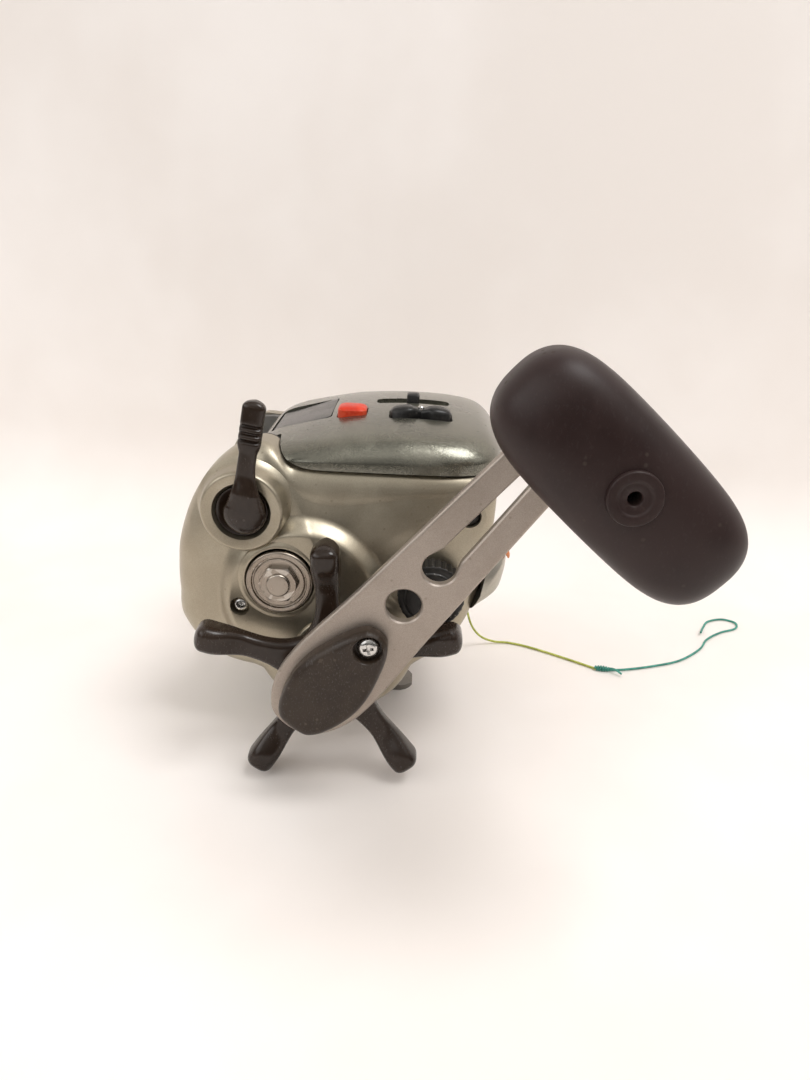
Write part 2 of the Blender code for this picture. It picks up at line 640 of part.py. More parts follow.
def right_side_cover(material):
    """Moulded crank-side shell with its bosses, sockets and holes."""
    cover = cover_dome("right_side_cover", COVER_RIM, RIGHT_FACE, COVER_EDGE, COVER_CROWN, 0,
                       OUTER_ARC, material, 1)
    solid, hollow = gear_boss_profile(RIGHT_FACE, GEAR_BOSS_RISE)
    solid = solid[:-1] + ((RIGHT_FACE + GEAR_BOSS_RISE, NECK_RADIUS + GEAR_BOSS_EDGE / 3),
                          (RIGHT_FACE + NECK_RISE, NECK_RADIUS), (RIGHT_FACE + NECK_RISE, 0))
    join(cover, boss("gear_boss", SHAFT_Y, SHAFT_Z, solid, steps=32))
    join(cover, boss("spool_dome", DOME_Y, DOME_Z, (
        (RIGHT_FACE - WALL, 0), (RIGHT_FACE - WALL, DOME_RADIUS + DOME_SOFT / 2),
        (RIGHT_FACE + DOME_RISE / 3, DOME_RADIUS), (RIGHT_FACE + DOME_RISE, DOME_RADIUS - DOME_SOFT / 2),
        (RIGHT_FACE + DOME_RISE, 0)), steps=36))
    join(cover, boss("lever_boss", LEVER_Y, LEVER_Z, (
        (RIGHT_FACE - WALL, 0), (RIGHT_FACE - WALL, LEVER_BOSS_RADIUS + LEVER_BOSS_SKIRT),
        (RIGHT_FACE + LEVER_BOSS_RISE / 3, LEVER_BOSS_RADIUS + LEVER_BOSS_SKIRT / 4),
        (RIGHT_FACE + LEVER_BOSS_RISE - SOFT_EDGE, LEVER_BOSS_RADIUS),
        (RIGHT_FACE + LEVER_BOSS_RISE, LEVER_BOSS_RADIUS - SOFT_EDGE), (RIGHT_FACE + LEVER_BOSS_RISE, 0))))
    join(cover, boss("cap_boss", SPOOL_Y, SPOOL_Z, (
        (RIGHT_FACE - WALL, 0), (RIGHT_FACE - WALL, CAP_BOSS_RADIUS + CAP_BOSS_SKIRT),
        (RIGHT_FACE + CAP_BOSS_RISE / 3, CAP_BOSS_RADIUS + CAP_BOSS_SKIRT / 3),
        (RIGHT_FACE + CAP_BOSS_RISE - SOFT_EDGE, CAP_BOSS_RADIUS),
        (RIGHT_FACE + CAP_BOSS_RISE, CAP_BOSS_RADIUS - SOFT_EDGE), (RIGHT_FACE + CAP_BOSS_RISE, 0))))
    inside = RIGHT_FACE - WALL
    cut(cover, cover_dome("right_hollow", COVER_RIM - OVERRUN, inside, COVER_EDGE - WALL,
                          COVER_CROWN, WALL, INNER_ARC, None, 1, 1))
    cut(cover, boss("gear_hollow", SHAFT_Y, SHAFT_Z, hollow, steps=32))
    face = RIGHT_FACE + LEVER_BOSS_RISE
    cut(cover, boss("lever_recess", LEVER_Y, LEVER_Z, (
        (face - LEVER_RECESS_DEPTH, 0), (face - LEVER_RECESS_DEPTH, LEVER_RECESS_RADIUS),
        (face + OVERRUN, LEVER_RECESS_RADIUS), (face + OVERRUN, 0))))
    drill(cover, "lever_pivot_hole", DRIVE_SHAFT_RADIUS + GAP, inside - OVERRUN, face, LEVER_Y, LEVER_Z)
    cut(cover, boss("cap_seat", SPOOL_Y, SPOOL_Z, (
        (RIGHT_FACE, 0), (RIGHT_FACE, END_CAP_RADIUS + GAP),
        (RIGHT_FACE + CAP_BOSS_RISE + OVERRUN, END_CAP_RADIUS + GAP), (RIGHT_FACE + CAP_BOSS_RISE + OVERRUN, 0))))
    past_face = RIGHT_FACE + DOME_RISE + OVERRUN
    drill(cover, "spool_shaft_hole", SHAFT_RADIUS + RUN, inside - OVERRUN, past_face, SPOOL_Y, SPOOL_Z)
    drill(cover, "one_way_hole", ONE_WAY_RADIUS + GAP, inside - OVERRUN,
          RIGHT_FACE + NECK_RISE + OVERRUN, SHAFT_Y, SHAFT_Z, steps=24)
    drill(cover, "brake_hole", SHAFT_RADIUS + GAP, inside - OVERRUN, past_face, BRAKE_Y, BRAKE_Z)
    for name, across, up, depth in (("rear", COVER_SCREW_Y, COVER_SCREW_Z, REAR_SCREW_SINK),
                                    ("front", DEEP_SCREW_Y, DEEP_SCREW_Z, DEEP_SCREW_SINK)):
        post = prism(name + "_post", circle(SCREW_HEAD_RADIUS + WALL, 14, across, up), COVER_RIM, inside, None)
        join(cover, post)
        drill(cover, name + "_counterbore", SCREW_HEAD_RADIUS + GAP, RIGHT_FACE - depth, past_face, across, up)
        drill(cover, name + "_screw_hole", SCREW_SHANK_RADIUS + GAP, COVER_RIM - OVERRUN, past_face,
              across, up, steps=12)
    return cover


def left_side_cover(material):
    """Moulded far-side shell over the motor gears, with the power socket's seat."""
    cover = cover_dome("left_side_cover", COVER_RIM, LEFT_FACE, COVER_EDGE, COVER_CROWN, 0,
                       OUTER_ARC, material, -1)
    join(cover, boss("left_boss", SPOOL_Y, SPOOL_Z, (
        (LEFT_FACE - WALL, 0), (LEFT_FACE - WALL, LEFT_BOSS_RADIUS + CAP_BOSS_SKIRT),
        (LEFT_FACE + LEFT_BOSS_RISE / 3, LEFT_BOSS_RADIUS + CAP_BOSS_SKIRT / 3),
        (LEFT_FACE + LEFT_BOSS_RISE, LEFT_BOSS_RADIUS), (LEFT_FACE + LEFT_BOSS_RISE, 0)), -1))
    solid, hollow = gear_boss_profile(LEFT_FACE, -LEFT_LOBE_DROP)
    join(cover, boss("left_lobe", SHAFT_Y, SHAFT_Z, solid, -1, 32))
    inside = LEFT_FACE - WALL
    cut(cover, cover_dome("left_hollow", COVER_RIM - OVERRUN, inside, COVER_EDGE - WALL,
                          COVER_CROWN, WALL, INNER_ARC, None, -1, 1))
    cut(cover, boss("left_lobe_hollow", SHAFT_Y, SHAFT_Z, hollow, -1, 32))
    seat = boss("left_bearing_post", SPOOL_Y, SPOOL_Z, (
        (inside - BEARING_WIDTH, 0), (inside - BEARING_WIDTH, BEARING_RADIUS + WALL),
        (LEFT_FACE, BEARING_RADIUS + WALL), (LEFT_FACE, 0)), -1, 24)
    join(cover, seat)
    cut(cover, boss("left_bearing_seat", SPOOL_Y, SPOOL_Z, (
        (inside - BEARING_WIDTH - OVERRUN, 0), (inside - BEARING_WIDTH - OVERRUN, BEARING_RADIUS + GAP),
        (inside + GAP, BEARING_RADIUS + GAP), (inside + GAP, 0)), -1, 24))
    cut(cover, boss("inlet_hole", INLET_Y, INLET_Z, (
        (LEFT_FACE - INLET_LENGTH, 0), (LEFT_FACE - INLET_LENGTH, INLET_RADIUS + GAP),
        (LEFT_FACE + OVERRUN, INLET_RADIUS + GAP), (LEFT_FACE + OVERRUN, 0)), -1, 24))
    return cover


def side_plate(name, side, material):
    """Flat plate that carries the bearings on one side."""
    low, high = sorted((side * PLATE_INNER, side * PLATE_OUTER))
    outline = inset(cover_outline(side), cover_centre(), SOFT_EDGE)
    plate = prism(name, outline, low, high, material)
    join(plate, prism(name + "_lobe", circle(GEAR_BOSS_RADIUS - SOFT_EDGE, 32, SHAFT_Y, SHAFT_Z), low, high, None))
    drill(plate, name + "_spool_hole", BEARING_RADIUS + GAP, low - OVERRUN, high + OVERRUN, SPOOL_Y, SPOOL_Z)
    drill(plate, name + "_worm_hole", WORM_RADIUS + GAP, low - OVERRUN, high + OVERRUN, WORM_Y, WORM_Z)
    if side > 0:
        drill(plate, "shaft_bearing_hole", DRIVE_BEARING_RADIUS + GAP, low - OVERRUN, high + OVERRUN,
              SHAFT_Y, SHAFT_Z)
        drill(plate, "rear_thread", SCREW_SHANK_RADIUS + GAP, low - OVERRUN, high + OVERRUN,
              COVER_SCREW_Y, COVER_SCREW_Z, steps=12)
        drill(plate, "front_thread", SCREW_SHANK_RADIUS + GAP, low - OVERRUN, high + OVERRUN,
              DEEP_SCREW_Y, DEEP_SCREW_Z, steps=12)
    else:
        pin = boss("idler_pin", IDLER_Y, IDLER_Z, (
            (PLATE_INNER + SOFT_EDGE, 0), (PLATE_INNER + SOFT_EDGE, SHAFT_RADIUS), (GEAR_HIGH + WALL, SHAFT_RADIUS),
            (GEAR_HIGH + WALL, 0)), -1, 16)
        join(plate, pin)
        drill(plate, "motor_shaft_hole", MOTOR_SHAFT_RADIUS + RUN, low - OVERRUN, high + OVERRUN,
              MOTOR_Y, MOTOR_Z, steps=16)
    return plate


def frame_pieces(metal, dark_metal, steel):
    """Side plates, the bars between them, the bridge and the foot."""
    side_plate("right_side_plate", 1, dark_metal)
    side_plate("left_side_plate", -1, dark_metal)
    inner = PLATE_INNER - GAP
    for name, across, up, radius in (("rear_bar", REAR_BAR_Y, REAR_BAR_Z, BAR_RADIUS),
                                     ("line_guard", GUARD_BAR_Y, GUARD_BAR_Z, GUARD_BAR_RADIUS)):
        turned(name, ((-inner, 0), (-inner, radius), (inner, radius), (inner, 0)), metal,
               (0, across, up), 16)
    bottom = BRIDGE_TOP - BRIDGE_HEIGHT
    bridge = box("bottom_bridge", (-inner, -BRIDGE_LENGTH / 2, bottom),
                 (inner, BRIDGE_LENGTH / 2, BRIDGE_TOP), dark_metal)

    half = FOOT_LENGTH / 2
    shoulder = STEM_LENGTH / 2 + FOOT_THICKNESS
    side = ((-half, 0), (half, 0), (half, FOOT_END_THICKNESS), (shoulder, FOOT_THICKNESS),
            (-shoulder, FOOT_THICKNESS), (-half, FOOT_END_THICKNESS))
    foot = prism("reel_foot", side, -FOOT_WIDTH / 2, FOOT_WIDTH / 2, metal)
    join(foot, prism("foot_stem", round_box(STEM_WIDTH / 2, STEM_LENGTH / 2, STEM_WIDTH / 4),
                     FOOT_END_THICKNESS, bottom - GAP, None, "Z"))
    combine(foot, prism("foot_plan", round_box(FOOT_WIDTH / 2 + GAP, half + GAP, FOOT_WIDTH / 2 - GAP, 6),
                        -OVERRUN, BRIDGE_TOP, None, "Z"), "INTERSECT")
    for name, spot in (("foot_screw_front", STEM_LENGTH / 3), ("foot_screw_rear", -STEM_LENGTH / 3)):
        for target in (foot, bridge):
            drill(target, name + "_hole_" + target.name, FOOT_SCREW_RADIUS + GAP, -OVERRUN,
                  BRIDGE_TOP + OVERRUN, 0, spot, "Z", 12)
        drill(foot, name + "_sink", FOOT_SCREW_HEAD + GAP, -OVERRUN, SCREW_HEAD_HEIGHT + 2 * GAP,
              0, spot, "Z", 20)
        rings = []
        for radius, up in ((FOOT_SCREW_HEAD, GAP), (FOOT_SCREW_HEAD, GAP + SCREW_HEAD_HEIGHT),
                           (FOOT_SCREW_RADIUS, GAP + SCREW_HEAD_HEIGHT),
                           (FOOT_SCREW_RADIUS, BRIDGE_TOP - GAP)):
            rings.append([(*point, up) for point in circle(radius, 12, 0, spot)])
        add_piece(name, stack_mesh(name, rings, "Z"), steel)


def cover_screws(steel, black):
    """The two screws of the crank-side cover."""
    for name, spot, sink, colour in (
            ("cover_screw_rear", (COVER_SCREW_Y, COVER_SCREW_Z), REAR_SCREW_SINK, steel),
            ("cover_screw_front", (DEEP_SCREW_Y, DEEP_SCREW_Z), DEEP_SCREW_SINK, black)):
        seat = RIGHT_FACE - sink + GAP
        turned(name, ((PLATE_INNER + GAP, 0), (PLATE_INNER + GAP, SCREW_SHANK_RADIUS),
                      (seat, SCREW_SHANK_RADIUS), (seat, SCREW_HEAD_RADIUS),
                      (seat + SCREW_HEAD_HEIGHT / 2, SCREW_HEAD_RADIUS),
                      (seat + SCREW_HEAD_HEIGHT, SCREW_HEAD_RADIUS * 0.7),
                      (seat + SCREW_HEAD_HEIGHT, 0)), colour, (0, *spot), 12)


def bearing(name, across, up, low, width, bore, radius, material):
    """Plain ring bearing."""
    turned(name, ((low, bore), (low, radius), (low + width, radius), (low + width, bore)), material,
           (0, across, up), 14, closed=True)


def spool_pieces(steel, aluminium, brass, line_paint):
    """Spool on its shaft with both gears, its line, its bearings and the end cap on the cover."""
    spot = (0, SPOOL_Y, SPOOL_Z)
    edge = SPOOL_HALF_WIDTH
    lip = FLANGE_THICKNESS
    bore = SHAFT_RADIUS + GAP
    outer = ((-edge, bore), (-edge, BARREL_RADIUS), (lip - edge, FLANGE_RADIUS - lip), (-edge, FLANGE_RADIUS),
             (lip - edge, FLANGE_RADIUS), (2 * lip - edge, FLANGE_RADIUS - lip),
             (2 * lip - edge, BARREL_RADIUS))
    mirrored = tuple((-along, radius) for along, radius in reversed(outer))
    turned("spool", outer + mirrored, aluminium, spot, 24, closed=True)
    core = edge - 2 * lip - GAP
    turned("line_core", ((-core, BARREL_RADIUS + GAP), (-core, LINE_CORE_RADIUS), (core, LINE_CORE_RADIUS),
                         (core, BARREL_RADIUS + GAP)), line_paint, spot, 24, closed=True)
    wound_line(core, line_paint)
    shaft_low = LEFT_FACE - WALL
    shaft_high = RIGHT_FACE - GAP
    turned("spool_shaft", ((-shaft_low, 0), (-shaft_low, SHAFT_RADIUS), (shaft_high, SHAFT_RADIUS),
                           (shaft_high, 0)), steel, spot, 20)
    gear("pinion_gear", PINION_TEETH, GEAR_MODULE, GEAR_LOW, GEAR_HIGH, bore, brass, spot,
         mesh_turn(SHAFT_ANGLE, PINION_TEETH))
    gear("spool_motor_gear", SPOOL_GEAR_TEETH, MOTOR_MODULE, -GEAR_HIGH, -GEAR_LOW, bore, brass, spot,
         MOTOR_ANGLE)
    for name, low in (("right_spool_bearing", PLATE_INNER), ("left_spool_bearing", -PLATE_INNER - BEARING_WIDTH)):
        bearing(name, SPOOL_Y, SPOOL_Z, low + GAP / 2, BEARING_WIDTH, bore, BEARING_RADIUS, steel)
    bearing("end_bearing", SPOOL_Y, SPOOL_Z, GAP - LEFT_FACE + WALL, BEARING_WIDTH - 2 * GAP, bore,
            BEARING_RADIUS, steel)
    seat = RIGHT_FACE + GAP
    top = seat + END_CAP_HEIGHT
    turned("spool_end_cap", ((seat, 0), (seat, END_CAP_RADIUS), (top - SOFT_EDGE, END_CAP_RADIUS),
                             (top, END_CAP_RADIUS - SOFT_EDGE), (top, END_CAP_RADIUS - WALL),
                             (top - SOFT_EDGE, END_CAP_RADIUS - WALL - SOFT_EDGE), (top - SOFT_EDGE, 0)),
           steel, spot, 24)
    nut_low = top - SOFT_EDGE + GAP
    corner = CAP_NUT_FLATS / 2 / math.cos(math.pi / 6)
    nut = turned("end_cap_nut", ((nut_low, 0), (nut_low, corner), (nut_low + CAP_NUT_HEIGHT, corner),
                                 (nut_low + CAP_NUT_HEIGHT, 0)), steel, spot, 6, turn=math.pi / 6)
    join(nut, boss("cap_stub", SPOOL_Y, SPOOL_Z, (
        (nut_low + CAP_NUT_HEIGHT / 2, 0), (nut_low + CAP_NUT_HEIGHT / 2, CAP_STUB_RADIUS),
        (nut_low + CAP_NUT_HEIGHT + CAP_STUB_HEIGHT, CAP_STUB_RADIUS),
        (nut_low + CAP_NUT_HEIGHT + CAP_STUB_HEIGHT, 0)), steps=20))


def wound_line(core, material):
    """Outer layer of line, one unbroken helix over the core."""
    radius = LINE_CORE_RADIUS + GAP + LINE_DIAMETER / 2
    reach = core - LINE_DIAMETER
    count = WOUND_LOOPS * WOUND_POINTS
    route = []
    for index in range(count + 1):
        angle = math.tau * index / WOUND_POINTS
        route.append((-reach + 2 * reach * index / count, radius * math.cos(angle), radius * math.sin(angle)))
    points = np.array(route)
    loops = points[WOUND_POINTS:] - points[:-WOUND_POINTS]
    print("Least gap in the wound line, m:", float(np.linalg.norm(loops, axis=1).min()) - LINE_DIAMETER)
    tube("wound_line", [(x, y + SPOOL_Y, z + SPOOL_Z) for x, y, z in route], LINE_DIAMETER, material, 1)


def crank_gears(steel, brass, fibre):
    """Crank shaft with its drive gear, drag stack, bearings and the level-wind drive."""
    spot = (0, SHAFT_Y, SHAFT_Z)
    low = PLATE_INNER + GAP
    thread = DRIVE_SHAFT_RADIUS
    collar = GEAR_LOW - RUN
    turned("drive_shaft", ((low, 0), (low, thread), (collar, thread), (collar, thread + WALL),
                           (GEAR_LOW - GAP, thread + WALL), (GEAR_LOW - GAP, thread),
                           (ARM_OUTER + HANDLE_NUT_HEIGHT + 2 * GAP, thread),
                           (ARM_OUTER + HANDLE_NUT_HEIGHT + 2 * GAP, 0)), steel, spot, 20)
    gear("drive_gear", DRIVE_TEETH, GEAR_MODULE, GEAR_LOW, GEAR_HIGH, thread + GAP, brass, spot,
         SHAFT_ANGLE + math.pi)
    bore = thread + GAP
    bearing("drag_washer", SHAFT_Y, SHAFT_Z, GEAR_HIGH + GAP, DRAG_THICKNESS, bore, DRAG_RADIUS, fibre)
    plate = GEAR_HIGH + 2 * GAP + DRAG_THICKNESS
    bearing("pressure_plate", SHAFT_Y, SHAFT_Z, plate, DRAG_THICKNESS, bore, DRAG_RADIUS - WALL, steel)
    bearing("shaft_bearing", SHAFT_Y, SHAFT_Z, PLATE_INNER + GAP / 2, BEARING_WIDTH, bore,
            DRIVE_BEARING_RADIUS, steel)
    one_way = RIGHT_FACE + NECK_RISE - ONE_WAY_WIDTH - GAP
    bearing("one_way_bearing", SHAFT_Y, SHAFT_Z, one_way, ONE_WAY_WIDTH, bore + RUN, ONE_WAY_RADIUS, steel)

    worm_spot = (0, WORM_Y, WORM_Z)
    end = PLATE_OUTER - GAP
    turned("worm_shaft", ((-end, 0), (-end, WORM_RADIUS), (GEAR_HIGH + WALL, WORM_RADIUS),
                          (GEAR_HIGH + WALL, 0)), steel, worm_spot, 20)
    gear("worm_gear", WORM_TEETH, GEAR_MODULE, GEAR_LOW, GEAR_HIGH, WORM_RADIUS + GAP, fibre, worm_spot,
         mesh_turn(WORM_ANGLE + math.pi, WORM_TEETH) + drive_phase() * DRIVE_TEETH / WORM_TEETH)


def drive_phase():
    """How far the drive gear's nearest tooth lies from the direction of the worm shaft."""
    pitch = math.tau / DRIVE_TEETH
    offset = (WORM_ANGLE - SHAFT_ANGLE - math.pi) % pitch
    return offset


def line_guide(material):
    """Guide block on the worm shaft with the eye that the line leaves through."""
    low = GUIDE_PARK - GUIDE_WIDTH / 2
    high = GUIDE_PARK + GUIDE_WIDTH / 2
    outer = WORM_RADIUS + RUN + GUIDE_WALL
    eye_y, eye_z = EYE_Y, EYE_Z
    lean = math.atan2(eye_z - WORM_Z, eye_y - WORM_Y)
    outline = []
    for radius, across, up, start in ((outer, WORM_Y, WORM_Z, lean + math.pi / 2),
                                      (GUIDE_EYE_RADIUS, eye_y, eye_z, lean - math.pi / 2)):
        for index in range(10):
            angle = start + math.pi * index / 9
            outline.append((across + radius * math.cos(angle), up + radius * math.sin(angle)))
    guide = prism("line_guide", outline, low, high, material)
    drill(guide, "guide_bore", WORM_RADIUS + RUN / 2, low - OVERRUN, high + OVERRUN, WORM_Y, WORM_Z, steps=20)
    drill(guide, "guide_eye_hole", LINE_DIAMETER / 2 + GAP, eye_y - GUIDE_EYE_RADIUS - OVERRUN,
          eye_y + GUIDE_EYE_RADIUS + OVERRUN, GUIDE_PARK, eye_z, "Y", 12)


def free_line(material):
    """Free line from the guide's eye down to the table, its knot and its end loop."""
    spacing = LINE_DIAMETER * 3.2
    start = [(x, EYE_Y + ahead, EYE_Z + up) for x, (ahead, up) in zip(LINE_START_X, LINE_START)]
    tube("fishing_line", smooth_path((*start, *LINE_ROUTE), spacing), LINE_DIAMETER, material, 2)
    tube("line_tail", smooth_path(TAIL_ROUTE, spacing), LINE_DIAMETER, material, 2)
    start = np.array(LINE_ROUTE[-1])
    end = np.array(TAIL_ROUTE[0])
    along = (end - start) / np.linalg.norm(end - start)
    length = np.linalg.norm(end - start) - 2 * GAP
    knot = turned("line_knot", ((0, 0), (0, KNOT_RADIUS / 2), (length * 0.2, KNOT_RADIUS * 0.9),
                                (length / 2, KNOT_RADIUS), (length * 0.8, KNOT_RADIUS * 0.9),
                                (length, KNOT_RADIUS / 2), (length, 0)), material, steps=12)
    knot.location = tuple(start + along * GAP)
    knot.location.z = KNOT_RADIUS + GAP
    knot.rotation_euler = (0, 0, math.atan2(along[1], along[0]))


def motor_pieces(dark, brass, steel):
    """Motor between the plates and the gears that join it to the spool on the far side."""
    end = PLATE_INNER - GAP
    case = turned("motor_case", ((-end, 0), (-end, MOTOR_RADIUS - WALL), (WALL - end, MOTOR_RADIUS),
                                 (end - WALL, MOTOR_RADIUS), (end, MOTOR_RADIUS - WALL), (end, 0)), dark,
                  (0, MOTOR_Y, MOTOR_Z), 24)
    drill(case, "motor_bore", MOTOR_SHAFT_RADIUS + RUN, -end - OVERRUN, -end + MOTOR_RADIUS, MOTOR_Y, MOTOR_Z,
          steps=16)
    rotor = gear("motor_shaft", MOTOR_TEETH, MOTOR_MODULE, -GEAR_HIGH, -GEAR_LOW, MOTOR_SHAFT_RADIUS / 2,
                 brass, (0, MOTOR_Y, MOTOR_Z), MOTOR_ANGLE + math.pi)
    start = end - MOTOR_RADIUS + GAP
    join(rotor, boss("rotor_shaft", MOTOR_Y, MOTOR_Z, (
        (start, 0), (start, MOTOR_SHAFT_RADIUS), (GEAR_HIGH + GAP, MOTOR_SHAFT_RADIUS),
        (GEAR_HIGH + GAP, 0)), -1, 16))
    gear("idler_gear", IDLER_TEETH, MOTOR_MODULE, -GEAR_HIGH, -GEAR_LOW, SHAFT_RADIUS + GAP, brass,
         (0, IDLER_Y, IDLER_Z), MOTOR_ANGLE + math.pi + math.pi / IDLER_TEETH)


def housing_top(x, y):
    """Height of the counter housing's top face."""
    share = (y - HOUSING_REAR) / (HOUSING_FRONT - HOUSING_REAR)
    stations, rises = zip(*HOUSING_PROFILE_SHARES)
    rise = np.interp(share, stations, rises)
    arch = math.sqrt(max(0, 1 - (x / HOUSING_HALF_WIDTH) ** 2))
    return HOUSING_BASE + HOUSING_RISE * rise * (1 - HOUSING_ARCH_SHARE * (1 - arch))


def housing_plan(draw_in, steps):
    """Rounded plan of the counter housing in X and Y."""
    middle = (HOUSING_REAR + HOUSING_FRONT) / 2
    half = (HOUSING_FRONT - HOUSING_REAR) / 2 - draw_in
    width = HOUSING_HALF_WIDTH - draw_in
    points = []
    for index in range(steps):
        angle = math.tau * (index + 0.5) / steps
        turn = math.cos(angle), math.sin(angle)
        points.append((width * math.copysign(abs(turn[0]) ** 0.42, turn[0]),
                       middle + half * math.copysign(abs(turn[1]) ** 0.42, turn[1])))
    return points, (0.0, middle)


def housing_dome(name, draw_in, drop, edge, base, angles, shares, material, steps):
    """Domed solid of the counter housing."""
    outline, centre = housing_plan(draw_in, steps)
    rings = [[(x, y, base) for x, y in outline]]
    for angle in angles:
        turn = math.radians(angle)
        loop = inset(outline, centre, edge * (1 - math.cos(turn)))
        rings.append([(x, y, HOUSING_BASE + (housing_top(x, y) - drop - HOUSING_BASE)
                       * (0.42 + 0.58 * math.sin(turn))) for x, y in loop])
    for share in shares:
        loop = [(x * share, centre[1] + (y - centre[1]) * share) for x, y in outline]
        rings.append([(x, y, housing_top(x, y) - drop) for x, y in loop])
    rings.append([(*centre, housing_top(*centre) - drop)])
    return add_piece(name, stack_mesh(name, rings, "Z"), material)


def counter_pieces(pearl, black, red, glass, panel, board, steel):
    """Counter housing with its window, buttons and slider, and the base and board inside it."""
    housing = housing_dome("counter_housing", 0, 0, HOUSING_EDGE, HOUSING_BASE, (0, 30, 60, 90),
                           (0.62, 0.35), pearl, 36)
    cut(housing, housing_dome("counter_hollow", WALL, WALL, HOUSING_EDGE - WALL, HOUSING_BASE - OVERRUN,
                              (0, 45, 90), (0.6, 0.35), None, 24))
    for side in (-1, 1):
        low, high = sorted((side * (PLATE_INNER - GAP), side * (RIGHT_FACE + OVERRUN)))
        grown = inset(cover_outline(side), cover_centre(), -2 * GAP)
        cut(housing, prism("seam_cutter_" + str(side), grown, low, high, None))

    window_z = housing_top(WINDOW_HALF_WIDTH / 2, WINDOW_Y)
    tilt = (WINDOW_TILT, 0, 0)
    half = WINDOW_LENGTH / 2
    window = prism("display_window", round_box(WINDOW_HALF_WIDTH, half, WALL), -WINDOW_THICKNESS, 0, glass, "Z",
                   (0, WINDOW_Y, window_z))
    window.rotation_euler = tilt
    seat = prism("window_seat", round_box(WINDOW_HALF_WIDTH + GAP, half + GAP, WALL), -WINDOW_THICKNESS - GAP,
                 WALL + OVERRUN, None, "Z", (0, WINDOW_Y, window_z))
    seat.rotation_euler = tilt
    view = prism("window_view", round_box(WINDOW_HALF_WIDTH - WALL, half - WALL, WALL), -4 * WALL, OVERRUN, None,
                 "Z", (0, WINDOW_Y, window_z))
    view.rotation_euler = tilt
    cut(housing, seat, view)
    screen = prism("display_panel", round_box(WINDOW_HALF_WIDTH - WALL - GAP, half - WALL - GAP, WALL),
                   -WINDOW_THICKNESS - 2 * GAP - PANEL_THICKNESS, -WINDOW_THICKNESS - GAP, panel, "Z",
                   (0, WINDOW_Y, window_z))
    screen.rotation_euler = tilt

    button_top = housing_top(BUTTON_X, BUTTON_Y) + BUTTON_STAND
    button_low = button_top - 3 * BUTTON_STAND
    half = BUTTON_SIZE / 2
    button = prism("power_button", round_box(half, half, WALL), button_low, button_top, red, "Z",
                   (BUTTON_X, BUTTON_Y, 0))
    soften(button, SOFT_EDGE, 60)
    cut(housing, prism("button_hole", round_box(half + GAP, half + GAP, WALL), button_low - OVERRUN,
                       button_top + OVERRUN, None, "Z", (BUTTON_X, BUTTON_Y, 0)))

    rocker_top = housing_top(ROCKER_X, ROCKER_Y) + ROCKER_STAND
    rocker_low = rocker_top - 2.5 * ROCKER_STAND
    half = ROCKER_LENGTH / 2
    wide = ROCKER_WIDTH / 2
    waist = ROCKER_WAIST / 2
    bow = ((waist, 0), (wide, half * 0.35), (wide, half - WALL / 2), (wide - WALL / 2, half),
           (WALL / 2 - wide, half), (-wide, half - WALL / 2), (-wide, half * 0.35), (-waist, 0),
           (-wide, -half * 0.35), (-wide, WALL / 2 - half), (WALL / 2 - wide, -half), (wide - WALL / 2, -half),
           (wide, WALL / 2 - half), (wide, -half * 0.35))
    rocker = prism("speed_rocker", bow, rocker_low - rocker_top, 0, black, "Z", (ROCKER_X, ROCKER_Y, rocker_top))
    soften(rocker, SOFT_EDGE, 60)
    cut(rocker, prism("rocker_pin_seat", circle(ROCKER_PIN_RADIUS + GAP, 12), -WALL, OVERRUN, None, "Z",
                      (ROCKER_X, ROCKER_Y, rocker_top)))
    turned_pin = prism("rocker_pin", circle(ROCKER_PIN_RADIUS, 12), GAP - WALL, GAP, steel, "Z",
                       (ROCKER_X, ROCKER_Y, rocker_top))
    soften(turned_pin, SOFT_EDGE / 2)
    cut(housing, prism("rocker_hole", round_box(wide + GAP, half + GAP, WALL / 2), rocker_low - 2 * OVERRUN,
                       rocker_top + OVERRUN, None, "Z", (ROCKER_X, ROCKER_Y, 0)))

    floor = housing_top(0, SLIDER_Y) - RECESS_DEPTH
    cut(housing, prism("slider_recess", round_box(RECESS_WIDTH / 2, RECESS_LENGTH / 2, WALL), floor,
                       floor + 2 * RECESS_DEPTH, None, "Z", (0, SLIDER_Y, 0)))
    slot = SLIDER_TRAVEL + SLIDER_STEM / 2 + GAP
    cut(housing, prism("slider_slot", round_box(SLIDER_STEM / 2 + GAP, slot, SLIDER_STEM / 2), floor - 2 * WALL,
                       floor + OVERRUN, None, "Z", (0, SLIDER_Y, 0)))
    slider = prism("speed_slider", round_box(SLIDER_WIDTH / 2, SLIDER_LENGTH / 2, SOFT_EDGE), floor + GAP,
                   floor + RECESS_DEPTH + SLIDER_STAND, black, "Z", (0, SLIDER_Y, 0))
    soften(slider, SOFT_EDGE, 60)
    join(slider, prism("slider_stem", circle(SLIDER_STEM / 2, 12), floor - WALL, floor + RECESS_DEPTH, None, "Z",
                       (0, SLIDER_Y, 0)))

    inner = PLATE_INNER - GAP
    base_top = HOUSING_BASE - WALL
    box("counter_base", (-inner, HOUSING_REAR + 3 * WALL, base_top - BASE_THICKNESS),
        (inner, NOSE_TOP[0] - 2 * WALL, base_top), black)
    board_low = base_top + GAP
    box("circuit_board", (WALL - inner, SLIDER_Y - BOARD_LENGTH / 2, board_low),
        (inner - WALL, SLIDER_Y + BOARD_LENGTH / 2, board_low + BOARD_THICKNESS), board)


